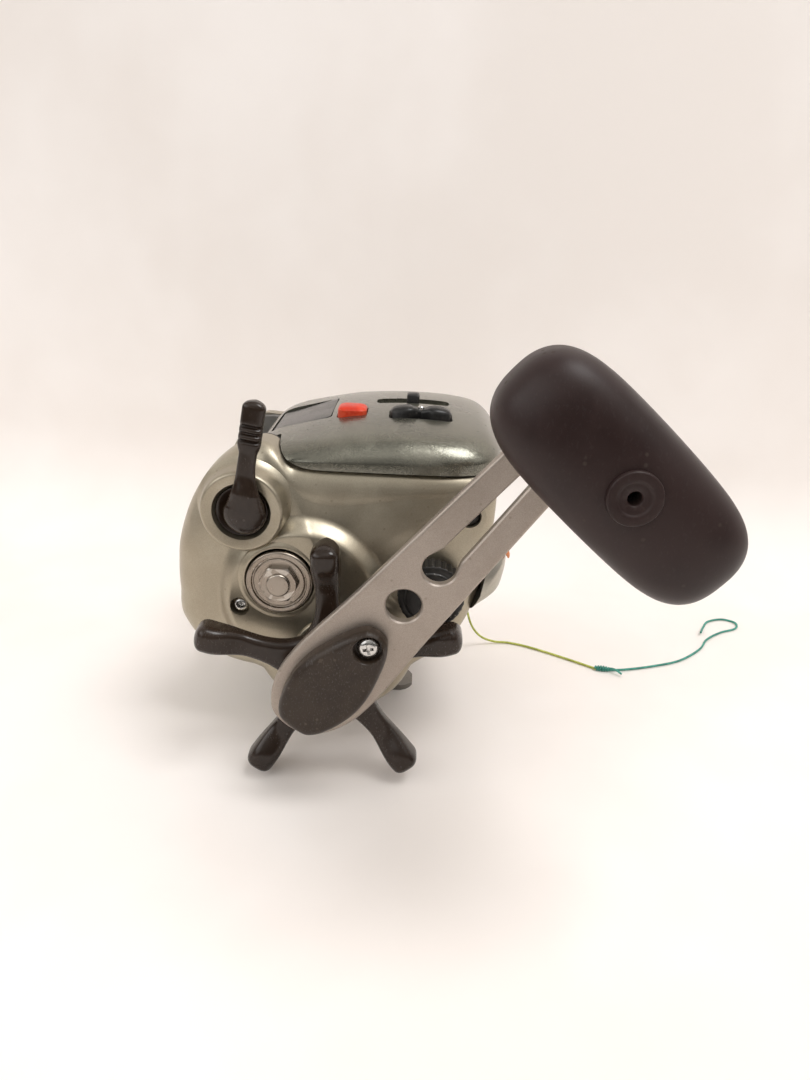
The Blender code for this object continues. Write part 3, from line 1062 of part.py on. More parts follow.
def front_cover(silver, orange):
    """Front wall and nose between the plates, with the coloured trim on its ledge."""
    outer = (NOSE_TOP, *NOSE_POINTS)
    ledge, edge = NOSE_POINTS[1:3]
    middle = (MOTOR_Y, MOTOR_Z)
    inner = [(y - WALL * (y - middle[0]) / math.hypot(y - middle[0], z - middle[1]) * 1.05,
              z - WALL * (z - middle[1]) / math.hypot(y - middle[0], z - middle[1]) * 1.05)
             for y, z in outer]
    inner[0] = (NOSE_TOP[0] - WALL, NOSE_TOP[1])
    half = PLATE_INNER - GAP
    cover = prism("front_cover", list(outer) + inner[::-1], -half, half, silver)
    soften(cover, SOFT_EDGE, 50)
    across = edge[0] - ledge[0]
    up = edge[1] - ledge[1]
    length = math.hypot(across, up)
    normal = (-up / length, across / length)
    corners = []
    for share, lift in ((0.12, GAP), (0.88, GAP), (0.88, GAP + TRIM_THICKNESS), (0.12, GAP + TRIM_THICKNESS)):
        corners.append((ledge[0] + across * share + normal[0] * lift,
                        ledge[1] + up * share + normal[1] * lift))
    prism("nose_trim", corners, WALL - half, half - WALL, orange)


def star_drag(material):
    """Five-armed star with raised tips, on the crank shaft."""
    outline = []
    hub = STAR_HUB_RADIUS
    for index in range(STAR_ARMS):
        angle = STAR_TURN + math.tau * index / STAR_ARMS
        ahead = (math.cos(angle), math.sin(angle))
        aside = (-ahead[1], ahead[0])
        side = []
        for reach, width in STAR_ROOT_SHARES:
            side.append((hub * reach, STAR_NECK_HALF * width))
        for reach, half in zip(STAR_REACH_SHARES, (STAR_NECK_HALF, STAR_TIP_RADIUS)):
            side.append((STAR_REACH * reach, half))
        rounded = STAR_TIP_RADIUS * STAR_PAD_SHARES[2]
        side.append((STAR_REACH + rounded, rounded))
        for along, half in [(along, -half) for along, half in side] + side[::-1]:
            outline.append((ahead[0] * along + aside[0] * half, ahead[1] * along + aside[1] * half))
    star = prism("star_drag", outline, STAR_INNER, STAR_INNER + STAR_THICKNESS, material, "X",
                 (0, SHAFT_Y, SHAFT_Z))
    for index in range(STAR_ARMS):
        angle = STAR_TURN + math.tau * index / STAR_ARMS
        pad = [STAR_TIP_RADIUS * share for share in STAR_PAD_SHARES]
        reach = STAR_REACH - pad[0] + STAR_TIP_RADIUS
        tip = prism("star_tip_" + str(index), round_box(*pad, 3),
                    STAR_INNER + GAP, STAR_INNER + STAR_TIP_THICKNESS, None, "X",
                    (0, SHAFT_Y + reach * math.cos(angle), SHAFT_Z + reach * math.sin(angle)))
        tip.rotation_euler = (angle, 0, 0)
        join(star, tip)
    join(star, boss("star_hub", SHAFT_Y, SHAFT_Z, (
        (STAR_INNER - GAP, 0), (STAR_INNER - GAP, hub * STAR_CORE_SHARE),
        (STAR_INNER + STAR_HUB_THICKNESS, hub * STAR_CORE_SHARE),
        (STAR_INNER + STAR_HUB_THICKNESS, 0))))
    drill(star, "star_bore", DRIVE_SHAFT_RADIUS + GAP, STAR_INNER - OVERRUN,
          STAR_INNER + STAR_HUB_THICKNESS + OVERRUN, SHAFT_Y, SHAFT_Z)


def along_arm(distance, offset=0.0):
    """Place in Y and Z at a distance along the handle arm and an offset across it."""
    ahead = HANDLE_DIRECTION
    return (SHAFT_Y + ahead[0] * distance - ahead[1] * offset, SHAFT_Z + ahead[1] * distance + ahead[0] * offset)


def arc(centre, radius, start, end, steps):
    """Points of an arc, in degrees, in the arm's own directions."""
    return [(centre + radius * math.cos(math.radians(start + (end - start) * index / (steps - 1))),
             radius * math.sin(math.radians(start + (end - start) * index / (steps - 1))))
            for index in range(steps)]


def handle_pieces(silver, brown, steel):
    """Handle arm, its nut, the cap and screw over it, and the knob's axle."""
    shape = arc(-ARM_END_BACK, ARM_END_RADIUS, 100, 260, 11)
    shape += [(ARM_WIDE_AT, -ARM_WIDE_HALF)]
    shape += arc(HANDLE_LENGTH, ARM_TIP_RADIUS, -85, 85, 9)
    shape += [(ARM_WIDE_AT, ARM_WIDE_HALF)]
    arm = prism("handle_arm", [along_arm(*point) for point in shape], ARM_INNER, ARM_OUTER, silver)
    soften(arm, SOFT_EDGE, 60)
    low, high = ARM_INNER - OVERRUN, ARM_OUTER + OVERRUN
    drill(arm, "arm_shaft_hole", DRIVE_SHAFT_RADIUS + GAP, low, high, SHAFT_Y, SHAFT_Z)
    drill(arm, "arm_hole", ARM_HOLE_RADIUS, low, high, *along_arm(ARM_HOLE_AT))
    slot = arc(KEYHOLE_AT, KEYHOLE_RADIUS, 60, 300, 15)
    slot += [(SLOT_END_AT, -SLOT_END_HALF), (SLOT_END_AT + SLOT_END_HALF, 0), (SLOT_END_AT, SLOT_END_HALF)]
    cut(arm, prism("keyhole", [along_arm(*point) for point in slot], low, high, None))
    screw_spot = along_arm(EGG_SMALL_AT)
    drill(arm, "cap_screw_hole", SCREW_SHANK_RADIUS + GAP, low, high, *screw_spot, steps=12)
    drill(arm, "axle_hole", AXLE_RADIUS + GAP, low, high, KNOB_Y, KNOB_Z)

    nut_low = ARM_OUTER + GAP
    corner = HANDLE_NUT_FLATS / 2 / math.cos(math.pi / 6)
    bore = DRIVE_SHAFT_RADIUS + GAP
    nut = turned("handle_nut", ((nut_low, 0), (nut_low, corner), (nut_low + HANDLE_NUT_HEIGHT, corner),
                                (nut_low + HANDLE_NUT_HEIGHT, 0)), steel, (0, SHAFT_Y, SHAFT_Z), 6)
    drill(nut, "nut_bore", bore, nut_low - OVERRUN, nut_low + HANDLE_NUT_HEIGHT + OVERRUN, SHAFT_Y, SHAFT_Z)

    reach = EGG_SMALL_AT + ARM_END_BACK
    lean = math.degrees(math.acos((EGG_BIG_RADIUS - EGG_SMALL_RADIUS) / reach))
    top = nut_low + EGG_HEIGHT
    rings = []
    for rise, draw_in in ((0, 0), (EGG_HEIGHT * 0.6, SOFT_EDGE), (EGG_HEIGHT * 0.88, 3 * SOFT_EDGE),
                          (EGG_HEIGHT, 6 * SOFT_EDGE)):
        egg = arc(-ARM_END_BACK, EGG_BIG_RADIUS - draw_in, lean, 360 - lean, 15)
        egg += arc(EGG_SMALL_AT, EGG_SMALL_RADIUS - draw_in * 0.75, -lean, lean, 9)
        rings.append([(*along_arm(*point), nut_low + rise) for point in egg])
    cap = add_piece("handle_cap", stack_mesh("handle_cap", rings), brown)
    pocket = circle(corner + RUN, 24, SHAFT_Y, SHAFT_Z)
    cut(cap, prism("nut_pocket", pocket, nut_low - OVERRUN, nut_low + HANDLE_NUT_HEIGHT + RUN, None))
    sink = top - COUNTERBORE_DEPTH
    drill(cap, "cap_counterbore", SCREW_HEAD_RADIUS * 1.15 + GAP, sink, top + OVERRUN, *screw_spot)
    drill(cap, "cap_hole", SCREW_SHANK_RADIUS + GAP, nut_low - OVERRUN, top, *screw_spot, steps=12)
    head = SCREW_HEAD_RADIUS * 1.15
    seat = sink + GAP
    turned("handle_cap_screw", ((ARM_INNER + GAP, 0), (ARM_INNER + GAP, SCREW_SHANK_RADIUS),
                                (seat, SCREW_SHANK_RADIUS), (seat, head), (seat + SCREW_HEAD_HEIGHT / 2, head),
                                (seat + SCREW_HEAD_HEIGHT, head * 0.7), (seat + SCREW_HEAD_HEIGHT, 0)), steel,
           (0, *screw_spot), 12)
    turned("knob_axle", ((ARM_INNER + GAP, 0), (ARM_INNER + GAP, AXLE_RADIUS), (ARM_OUTER + GAP, AXLE_RADIUS),
                         (ARM_OUTER + GAP, AXLE_FLANGE_RADIUS), (ARM_OUTER + WALL, AXLE_FLANGE_RADIUS),
                         (ARM_OUTER + WALL, AXLE_RADIUS), (KNOB_OUTER - 3 * WALL, AXLE_RADIUS),
                         (KNOB_OUTER - 3 * WALL, 0)), steel, (0, KNOB_Y, KNOB_Z), 20)


def handle_knob(material):
    """Barrel grip across the arm's end, with a neck towards the arm and a hub on its outer face."""
    half = KNOB_LENGTH / 2
    thick = KNOB_THICKNESS / 2
    wide = KNOB_WIDTH / 2
    rings = []
    stations = (-1.0, -0.985, -0.93, -0.84, -0.68, -0.35, 0.0, 0.35, 0.68, 0.84, 0.93, 0.985, 1.0)
    for share in stations:
        full = (1 - abs(share) ** 6.5) ** (1 / 2.4) if abs(share) < 1 else 0.0
        taper = 1 - 0.10 * abs(share) ** 2
        full = max(full, 0.30) * taper
        ring = []
        for index in range(KNOB_SIDES):
            angle = math.tau * index / KNOB_SIDES
            turn = math.cos(angle), math.sin(angle)
            ring.append((thick * full * math.copysign(abs(turn[0]) ** 0.72, turn[0]) + KNOB_INNER + thick,
                         wide * full * math.copysign(abs(turn[1]) ** 0.72, turn[1]), half * share))
        rings.append(ring)
    mesh = stack_mesh("handle_knob", rings, "Z")
    for vertex in mesh.vertices:
        along, across = vertex.co.z, vertex.co.y
        vertex.co.y = along * math.cos(KNOB_TURN) - across * math.sin(KNOB_TURN)
        vertex.co.z = along * math.sin(KNOB_TURN) + across * math.cos(KNOB_TURN)
    knob = add_piece("handle_knob", make_mesh("handle_knob", [vertex.co for vertex in mesh.vertices],
                                              [tuple(face.vertices) for face in mesh.polygons]),
                     material, (0, KNOB_Y, KNOB_Z))
    neck_start = ARM_OUTER + WALL + GAP
    neck = KNOB_NECK_RADIUS
    join(knob, boss("knob_neck", KNOB_Y, KNOB_Z, (
        (neck_start, 0), (neck_start, neck), (neck_start + neck, neck * 0.86), (KNOB_INNER - neck, neck),
        (KNOB_INNER, neck * 1.3), (KNOB_INNER + thick, neck * 1.3), (KNOB_INNER + thick, 0)), steps=20))
    join(knob, boss("knob_hub", KNOB_Y, KNOB_Z, (
        (KNOB_OUTER - thick, 0), (KNOB_OUTER - thick, KNOB_HUB_RADIUS),
        (KNOB_OUTER + KNOB_HUB_STAND, KNOB_HUB_RADIUS), (KNOB_OUTER + KNOB_HUB_STAND, 0)), steps=24))
    drill(knob, "knob_bore", AXLE_RADIUS + GAP, neck_start - OVERRUN, KNOB_OUTER - 2 * WALL, KNOB_Y, KNOB_Z)
    drill(knob, "knob_hole", KNOB_HOLE_RADIUS, neck_start, KNOB_OUTER + OVERRUN, KNOB_Y, KNOB_Z, steps=16)


def clutch_lever(material):
    """Lever in its round recess, with a grooved grip at its end."""
    seat = RIGHT_FACE + LEVER_BOSS_RISE - LEVER_RECESS_DEPTH + GAP
    top = RIGHT_FACE + LEVER_BOSS_RISE + GAP
    tip = LEVER_LENGTH
    grip = tip - LEVER_GRIP_LENGTH
    edge = [(LEVER_HUB_RADIUS * math.cos(math.radians(angle)), LEVER_HUB_RADIUS * math.sin(math.radians(angle)))
            for angle in (180, 155, 130, 105, 80, 58)]
    edge += [(grip * 0.55, LEVER_NECK_HALF * 1.7), (grip * 0.8, LEVER_NECK_HALF * 1.1), (grip, LEVER_NECK_HALF)]
    for index in range(3):
        start = grip + LEVER_GRIP_LENGTH * (0.14 + 0.2 * index)
        edge += [(start, LEVER_GRIP_HALF), (start + LEVER_GRIP_LENGTH * 0.08, LEVER_GRIP_HALF - GROOVE_DEPTH),
                 (start + LEVER_GRIP_LENGTH * 0.16, LEVER_GRIP_HALF)]
    edge += [(tip - LEVER_GRIP_HALF * 0.6, LEVER_GRIP_HALF * 0.95), (tip - LEVER_GRIP_HALF * 0.1, LEVER_GRIP_HALF * 0.5)]
    shape = edge + [(along, -across) for along, across in reversed(edge[1:])]
    outline = [(along * math.cos(LEVER_LEAN) - across * math.sin(LEVER_LEAN),
                along * math.sin(LEVER_LEAN) + across * math.cos(LEVER_LEAN)) for along, across in shape]
    lever = prism("clutch_lever", outline, top, top + LEVER_THICKNESS, material, "X", (0, LEVER_Y, LEVER_Z))
    join(lever, boss("lever_hub", LEVER_Y, LEVER_Z, (
        (seat, 0), (seat, LEVER_HUB_RADIUS), (top + LEVER_THICKNESS / 2, LEVER_HUB_RADIUS - SOFT_EDGE),
        (top + LEVER_THICKNESS / 2, 0)), steps=24))
    join(lever, boss("lever_pivot", LEVER_Y, LEVER_Z, (
        (RIGHT_FACE - WALL - GAP, 0), (RIGHT_FACE - WALL - GAP, DRIVE_SHAFT_RADIUS),
        (top, DRIVE_SHAFT_RADIUS), (top, 0)), steps=20))


def brake_knob(material):
    """Ribbed round knob low on the front of the crank-side cover."""
    low = RIGHT_FACE + GAP
    high = low + BRAKE_HEIGHT
    outline = []
    for index in range(BRAKE_RIBS):
        for share, radius in ((-0.3, BRAKE_RADIUS), (0.1, BRAKE_RADIUS), (0.25, BRAKE_RADIUS - BRAKE_RIB_DEPTH),
                              (0.55, BRAKE_RADIUS - BRAKE_RIB_DEPTH)):
            angle = math.tau * (index + share) / BRAKE_RIBS
            outline.append((radius * math.cos(angle), radius * math.sin(angle)))
    knob = prism("brake_knob", outline, low, high - SOFT_EDGE, material, "X", (0, BRAKE_Y, BRAKE_Z))
    join(knob, boss("brake_top", BRAKE_Y, BRAKE_Z, (
        (high - WALL, 0), (high - WALL, BRAKE_RADIUS - WALL), (high, BRAKE_RADIUS - WALL), (high, 0))))
    join(knob, boss("brake_stem", BRAKE_Y, BRAKE_Z, (
        (RIGHT_FACE - 2 * WALL, 0), (RIGHT_FACE - 2 * WALL, SHAFT_RADIUS), (low + WALL, SHAFT_RADIUS),
        (low + WALL, 0)), steps=16))


def power_inlet(material):
    """Round socket with two contact pins, low on the far-side cover."""
    outer = LEFT_FACE + RUN
    low = outer - INLET_LENGTH
    floor = low + WALL
    inlet = turned("power_inlet", ((-low, 0), (-low, INLET_RADIUS), (-outer, INLET_RADIUS),
                                   (-outer, INLET_RADIUS - WALL * 0.6), (-floor, INLET_RADIUS - WALL * 0.6),
                                   (-floor, 0)), material, (0, INLET_Y, INLET_Z), 18)
    for side in (-1, 1):
        join(inlet, boss("inlet_pin_" + str(side), INLET_Y + side * INLET_RADIUS * 0.38, INLET_Z, (
            (low + SOFT_EDGE, 0), (low + SOFT_EDGE, INLET_PIN_RADIUS),
            (floor + INLET_PIN_LENGTH, INLET_PIN_RADIUS), (floor + INLET_PIN_LENGTH, 0)), -1, 8))


def main():
    """Clear the scene and model every piece."""
    for old in list(bpy.data.objects):
        bpy.data.objects.remove(old, do_unlink=True)
    champagne = paint("champagne silver", (0.55, 0.50, 0.41), 0.32, 0.85)
    silver = paint("light silver", (0.66, 0.64, 0.60), 0.30, 0.85)
    arm_silver = paint("arm silver", (0.55, 0.51, 0.49), 0.38, 0.75)
    pearl = paint("dark pearl grey", (0.13, 0.13, 0.12), 0.25, 0.55)
    brown = paint("dark brown plastic", (0.045, 0.032, 0.030), 0.38, 0.0)
    black = paint("black plastic", (0.015, 0.015, 0.016), 0.4, 0.0)
    red = paint("red plastic", (0.75, 0.06, 0.025), 0.35, 0.0)
    orange = paint("orange trim", (0.80, 0.22, 0.05), 0.4, 0.0)
    steel = paint("bright steel", (0.62, 0.61, 0.59), 0.22, 1.0)
    dark_metal = paint("dark cast metal", (0.10, 0.10, 0.10), 0.45, 0.8)
    aluminium = paint("turned aluminium", (0.55, 0.55, 0.56), 0.25, 1.0)
    brass = paint("gear brass", (0.65, 0.47, 0.22), 0.3, 1.0)
    fibre = paint("grey fibre", (0.20, 0.20, 0.20), 0.6, 0.0)
    glass = paint("dark window", (0.01, 0.012, 0.014), 0.08, 0.0)
    panel = paint("display panel", (0.30, 0.34, 0.28), 0.3, 0.0)
    board = paint("circuit board", (0.03, 0.16, 0.07), 0.5, 0.0)
    line_paint = paint("yellow green line", (0.60, 0.68, 0.16), 0.5, 0.0)

    frame_pieces(silver, dark_metal, steel)
    right_side_cover(champagne)
    left_side_cover(champagne)
    cover_screws(steel, black)
    spool_pieces(steel, aluminium, brass, line_paint)
    crank_gears(steel, brass, fibre)
    line_guide(black)
    free_line(line_paint)
    motor_pieces(dark_metal, brass, steel)
    counter_pieces(pearl, black, red, glass, panel, board, steel)
    front_cover(silver, orange)
    star_drag(brown)
    handle_pieces(arm_silver, brown, steel)
    handle_knob(brown)
    clutch_lever(brown)
    brake_knob(black)
    power_inlet(black)


main()
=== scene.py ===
import json
import math
import bpy
import numpy as np
from mathutils import Matrix, Vector


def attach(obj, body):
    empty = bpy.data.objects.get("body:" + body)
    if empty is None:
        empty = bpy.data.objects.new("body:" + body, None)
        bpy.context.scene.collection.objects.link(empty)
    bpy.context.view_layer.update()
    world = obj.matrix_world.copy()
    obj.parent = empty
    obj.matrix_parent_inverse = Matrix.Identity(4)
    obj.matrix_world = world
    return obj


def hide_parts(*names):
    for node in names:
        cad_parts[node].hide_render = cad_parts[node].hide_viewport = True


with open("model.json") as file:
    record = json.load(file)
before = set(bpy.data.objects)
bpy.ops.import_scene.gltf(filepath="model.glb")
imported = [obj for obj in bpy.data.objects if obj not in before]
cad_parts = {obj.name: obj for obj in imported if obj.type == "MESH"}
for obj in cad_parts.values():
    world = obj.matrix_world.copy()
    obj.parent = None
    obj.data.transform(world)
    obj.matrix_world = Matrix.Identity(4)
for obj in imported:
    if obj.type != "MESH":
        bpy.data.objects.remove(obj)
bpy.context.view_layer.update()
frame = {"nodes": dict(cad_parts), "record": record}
print("frame loaded:", len(frame["nodes"]), "nodes")

# places that several pieces share, as Y and Z in metres
spots = {
    "shaft": (0.0000069, 0.0355279),
    "spool": (-0.0158, 0.0587),
    "worm": (0.0266168, 0.0460099),
    "knob": (0.0603783, 0.1133582),
    "lever": (-0.0261, 0.0799),
    "rearScrew": (-0.0279, 0.0494),
    "frontScrew": (0.0384, 0.0792),
    "brake": (0.0283, 0.0573),
    "dome": (-0.0096, 0.0515),
    "inlet": (-0.0340, 0.0415),
}


# mesh helpers

flatRim = 0.00006           # how far in from a rolled edge a flat face gets its own ring, for even shading


def fullTurn(count):
    return np.linspace(0, math.tau, count, endpoint=False)


def signedPower(values, exponent):
    return np.sign(values) * np.abs(values) ** exponent


def polar(reach, angle, centre=(0, 0)):
    return np.stack([centre[0] + reach * np.cos(angle), centre[1] + reach * np.sin(angle)], axis=-1)


def atX(row, level):
    # (Y, Z) points at one place along X, or each at its own
    return np.column_stack([np.full(len(row), level), row])


def atZ(row, level):
    # (X, Y) points at one height, or each at its own
    return np.column_stack([row, np.full(len(row), level)])


def swung(spot, turn, along, aside):
    # distances along and across a line that leaves the spot at an angle, as Y and Z
    return (spots[spot][0] + along * math.cos(turn) - aside * math.sin(turn),
            spots[spot][1] + along * math.sin(turn) + aside * math.cos(turn))


def roundedTip(fromTip, length, exponent):
    # one along a bar, falling to nought over the length before its tip as a superellipse does
    return np.clip(1 - (1 - np.clip(fromTip / length, 0, 1)) ** exponent, 0, 1)


def addObject(name, data):
    made = bpy.data.objects.new(name, data)
    bpy.context.scene.collection.objects.link(made)
    return made


def shadeSoft(piece, sharpAngle=32):
    # smooth shading, with edges sharper than the angle kept crisp
    piece.data.shade_smooth()
    piece.data.set_sharp_from_angle(angle=math.radians(sharpAngle))


def meshPiece(name, points, quads, tris=None, sharpAngle=32):
    # corners and faces go in as whole arrays; a volume below zero means that the faces point in, so they turn
    points = np.asarray(points, float).reshape(-1, 3)
    quads = np.asarray(quads, int).reshape(-1, 4)
    tris = np.empty((0, 3), int) if tris is None else np.asarray(tris, int).reshape(-1, 3)
    fans = np.concatenate([quads[:, [0, 1, 2]], quads[:, [0, 2, 3]], tris])
    corners = points[fans] - points.mean(axis=0)
    volume = np.einsum("ij,ij->", corners[:, 0], np.cross(corners[:, 1], corners[:, 2]))
    if volume < 0:
        quads, tris = quads[:, ::-1], tris[:, ::-1]
    mesh = bpy.data.meshes.new(name)
    mesh.vertices.add(len(points))
    mesh.vertices.foreach_set("co", points.astype(np.float32).ravel())
    mesh.loops.add(quads.size + tris.size)
    mesh.loops.foreach_set("vertex_index", np.concatenate([quads.ravel(), tris.ravel()]).astype(np.int32))
    mesh.polygons.add(len(quads) + len(tris))
    starts = np.concatenate([np.arange(len(quads)) * 4, quads.size + np.arange(len(tris)) * 3])
    mesh.polygons.foreach_set("loop_start", starts.astype(np.int32))
    mesh.update(calc_edges=True)
    mesh.validate()
    piece = addObject(name, mesh)
    shadeSoft(piece, sharpAngle)
    return piece


def ringSurface(name, rings, startPole, endPole, sharpAngle=32):
    # point j of ring i joins its neighbours in four-sided faces; a pole closes each end with a fan
    rings = np.asarray(rings, float)
    count, around = rings.shape[:2]
    index = np.arange(count * around).reshape(count, around)
    turned = np.roll(index, -1, axis=1)
    quads = np.stack([index[:-1], index[1:], turned[1:], turned[:-1]], axis=-1).reshape(-1, 4)
    spare = count * around
    tris = np.concatenate([np.stack([np.full(around, spare), index[0], turned[0]], axis=-1),
                           np.stack([np.full(around, spare + 1), turned[-1], index[-1]], axis=-1)])
    points = np.concatenate([rings.reshape(-1, 3), np.reshape(startPole, (1, 3)), np.reshape(endPole, (1, 3))])
    return meshPiece(name, points, quads, tris, sharpAngle)


def closedBar(name, rings):
    return ringSurface(name, rings, rings[0].mean(axis=0), rings[-1].mean(axis=0), 50)


def barPiece(name, spot, turn, along, width, low, height, square, around, shift=0):
    # superellipse sections, each coordinate a sine or cosine raised to a power, along a bar that leaves its spot
    angle = fullTurn(around)
    across, rise = signedPower(np.cos(angle), square), signedPower(np.sin(angle), square)
    x = low + height[:, None] * (rise + 1) / 2
    rings = np.stack([x, *swung(spot, turn, along[:, None], width[:, None] * across - shift)], axis=-1)
    return closedBar(name, rings)


def evenLoop(loop, count):
    # a closed outline walked at even steps of its own length
    loop = np.asarray(loop, float)
    closed = np.vstack([loop, loop[:1]])
    travelled = np.concatenate([[0], np.cumsum(np.linalg.norm(np.diff(closed, axis=0), axis=1))])
    stations = np.linspace(0, travelled[-1], count, endpoint=False)
    return np.stack([np.interp(stations, travelled, closed[:, part]) for part in range(loop.shape[1])], axis=-1)


def throughPoints(knots, steps, closed=False):
    # Catmull-Rom: each stretch is a cubic through its two knots, sloped by the knots on either side
    knots = np.asarray(knots, float)
    if closed:
        padded = np.vstack([knots[-1:], knots, knots[:2]])
    else:
        padded = np.vstack([2 * knots[0] - knots[1], knots, 2 * knots[-1] - knots[-2]])
    before, start, end, after = (padded[part:len(padded) - 3 + part, None] for part in range(4))
    share = (np.arange(steps) / steps)[None, :, None]
    curve = 0.5 * (2 * start + (end - before) * share + (2 * before - 5 * start + 4 * end - after) * share ** 2
                   + (3 * start - before - 3 * end + after) * share ** 3)
    curve = curve.reshape(-1, knots.shape[1])
    return curve if closed else np.vstack([curve, knots[-1:]])


def growLoop(loop, amount):
    # an outline moved out along its own normals; it must run anticlockwise
    ahead = np.roll(loop, -1, axis=0) - np.roll(loop, 1, axis=0)
    normal = np.stack([ahead[:, 1], -ahead[:, 0]], axis=-1)
    return loop + amount * normal / np.maximum(np.linalg.norm(normal, axis=1, keepdims=True), 1e-12)


def turnedPiece(name, profile, centre, around=96, sharpAngle=32):
    # a profile of (place along X, radius) turned about an axis along X
    profile = np.asarray(profile, float)
    rings = [atX(circleLoop(radius, around, centre), x) for x, radius in profile]
    return ringSurface(name, rings, (profile[0, 0], *centre), (profile[-1, 0], *centre), sharpAngle)


def roundedPath(corners, steps=5):
    # a profile of (x, radius, rounding), closed straight down to its axis: each corner becomes a quadratic arc that
    # starts and ends rounding away from it
    ends = [[(corners[end][0], 0, 0)] if corners[end][1] > 0 else [] for end in (0, -1)]
    corners = [*ends[0], *corners, *ends[1]]
    path = []
    for index, (x, radius, rounding) in enumerate(corners):
        here = np.array([x, radius])
        if rounding <= 0 or index in (0, len(corners) - 1):
            path.append(here[None])
            continue
        back = np.array(corners[index - 1][:2]) - here
        on = np.array(corners[index + 1][:2]) - here
        start = here + back * min(rounding / np.linalg.norm(back), 0.49)
        end = here + on * min(rounding / np.linalg.norm(on), 0.49)
        share = np.linspace(0, 1, steps + 1)[:, None]
        path.append((1 - share) ** 2 * start + 2 * share * (1 - share) * here + share ** 2 * end)
    return np.concatenate(path)


def slabPiece(name, outline, low, high, rounding, centre=None):
    # an outline carried along X from low to high, its edges rolled in by a quarter circle at both faces
    outline = np.asarray(outline, float)
    centre = outline.mean(axis=0) if centre is None else np.asarray(centre, float)
    turn = np.linspace(0, math.pi / 2, 5)
    levels = np.concatenate([[low], low + rounding * (1 - np.sin(turn))[::-1],
                             high - rounding * (1 - np.sin(turn)), [high]])
    draws = rounding * (1 - np.cos(turn))
    draws = np.concatenate([[rounding + flatRim], draws[::-1], draws, [rounding + flatRim]])
    rings = [atX(growLoop(outline, -draw), level) for draw, level in zip(draws, levels)]
    return ringSurface(name, rings, (low, *centre), (high, *centre))


def boolean(piece, tools, operation, sharpAngle):
    # each tool is taken from, joined to or kept with the piece, and the result stays as its own mesh
    for tool in tools:
        modifier = piece.modifiers.new("shape", "BOOLEAN")
        modifier.operation = operation
        modifier.solver = "MANIFOLD"
        modifier.object = tool
        result = bpy.data.meshes.new_from_object(piece.evaluated_get(bpy.context.evaluated_depsgraph_get()))
        piece.modifiers.clear()
        piece.data = result
        bpy.data.objects.remove(tool)
    shadeSoft(piece, sharpAngle)
    return piece


def carve(piece, *tools, sharpAngle=32):
    return boolean(piece, tools, "DIFFERENCE", sharpAngle)


def weldOn(piece, *tools, sharpAngle=32):
    return boolean(piece, tools, "UNION", sharpAngle)


def keepInside(piece, *tools, sharpAngle=32):
    return boolean(piece, tools, "INTERSECT", sharpAngle)


def smoothStep(value):
    share = np.clip(value, 0, 1)
    return share * share * (3 - 2 * share)


def circleLoop(radius, count, centre=(0, 0)):
    return polar(radius, fullTurn(count), centre)


def superLoop(halfAcross, halfUp, exponent, count, centre):
    # superellipse: each coordinate is the cosine or sine raised to a power below one, walked at even steps
    angle = fullTurn(8 * count)
    loop = np.stack([halfAcross * signedPower(np.cos(angle), exponent),
                     halfUp * signedPower(np.sin(angle), exponent)], axis=-1)
    return evenLoop(loop, count) + np.asarray(centre)


dressed = {}                # piece name -> material slot, filled as pieces are finished
ownLooks = {"handleKnob": "satin_brown", "handleCap": "worn_brown", "tailLine": "teal_line", "lineKnot": "teal_line",
            "brakeKnob": "knurl_black", "spoolEndCap": "cap_steel", "endCapNut": "cap_steel"}


def finishPiece(piece, body, slotName, *nodes):
    # the piece rides on its body, takes the record's finish and stands for its CAD nodes
    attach(piece, body)
    if nodes:
        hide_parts(*nodes)
    dressed[piece.name] = slotName


# camera

view = {
    "place": (0.260, 0.020, 0.157),
    "pixels": 811.0,                      # focal length, in pixels of an 810 by 1080 frame
    "middle": (405.0, 540.0),
    "acrossVanish": (420.0, 224.0),       # where lines along the shaft meet, in the same pixels
}


def addCamera():
    # the shaft's vanishing point gives the axis along the view; the rest follows from cross products
    across, down = (view["acrossVanish"][part] - view["middle"][part] for part in (0, 1))
    away = Vector((across, down, view["pixels"])).normalized()
    along = Vector((-down, across, 0)).normalized()
    along = along if along.x > 0 else -along
    shaft = -away
    up = shaft.cross(along)
    data = bpy.data.cameras.new("photoCamera")
    data.sensor_width = 36
    data.lens = view["pixels"] * 36 / 1080
    data.clip_start = 0.01
    data.clip_end = 20
    camera = addObject("photoCamera", data)
    right = Vector((shaft.x, along.x, up.x))
    top = -Vector((shaft.y, along.y, up.y))
    back = -Vector((shaft.z, along.z, up.z))
    turn = Matrix((right, top, back)).transposed().to_4x4()
    camera.matrix_world = Matrix.Translation(Vector(view["place"])) @ turn
    bpy.context.scene.camera = camera


addCamera()
print("camera placed")

# cords

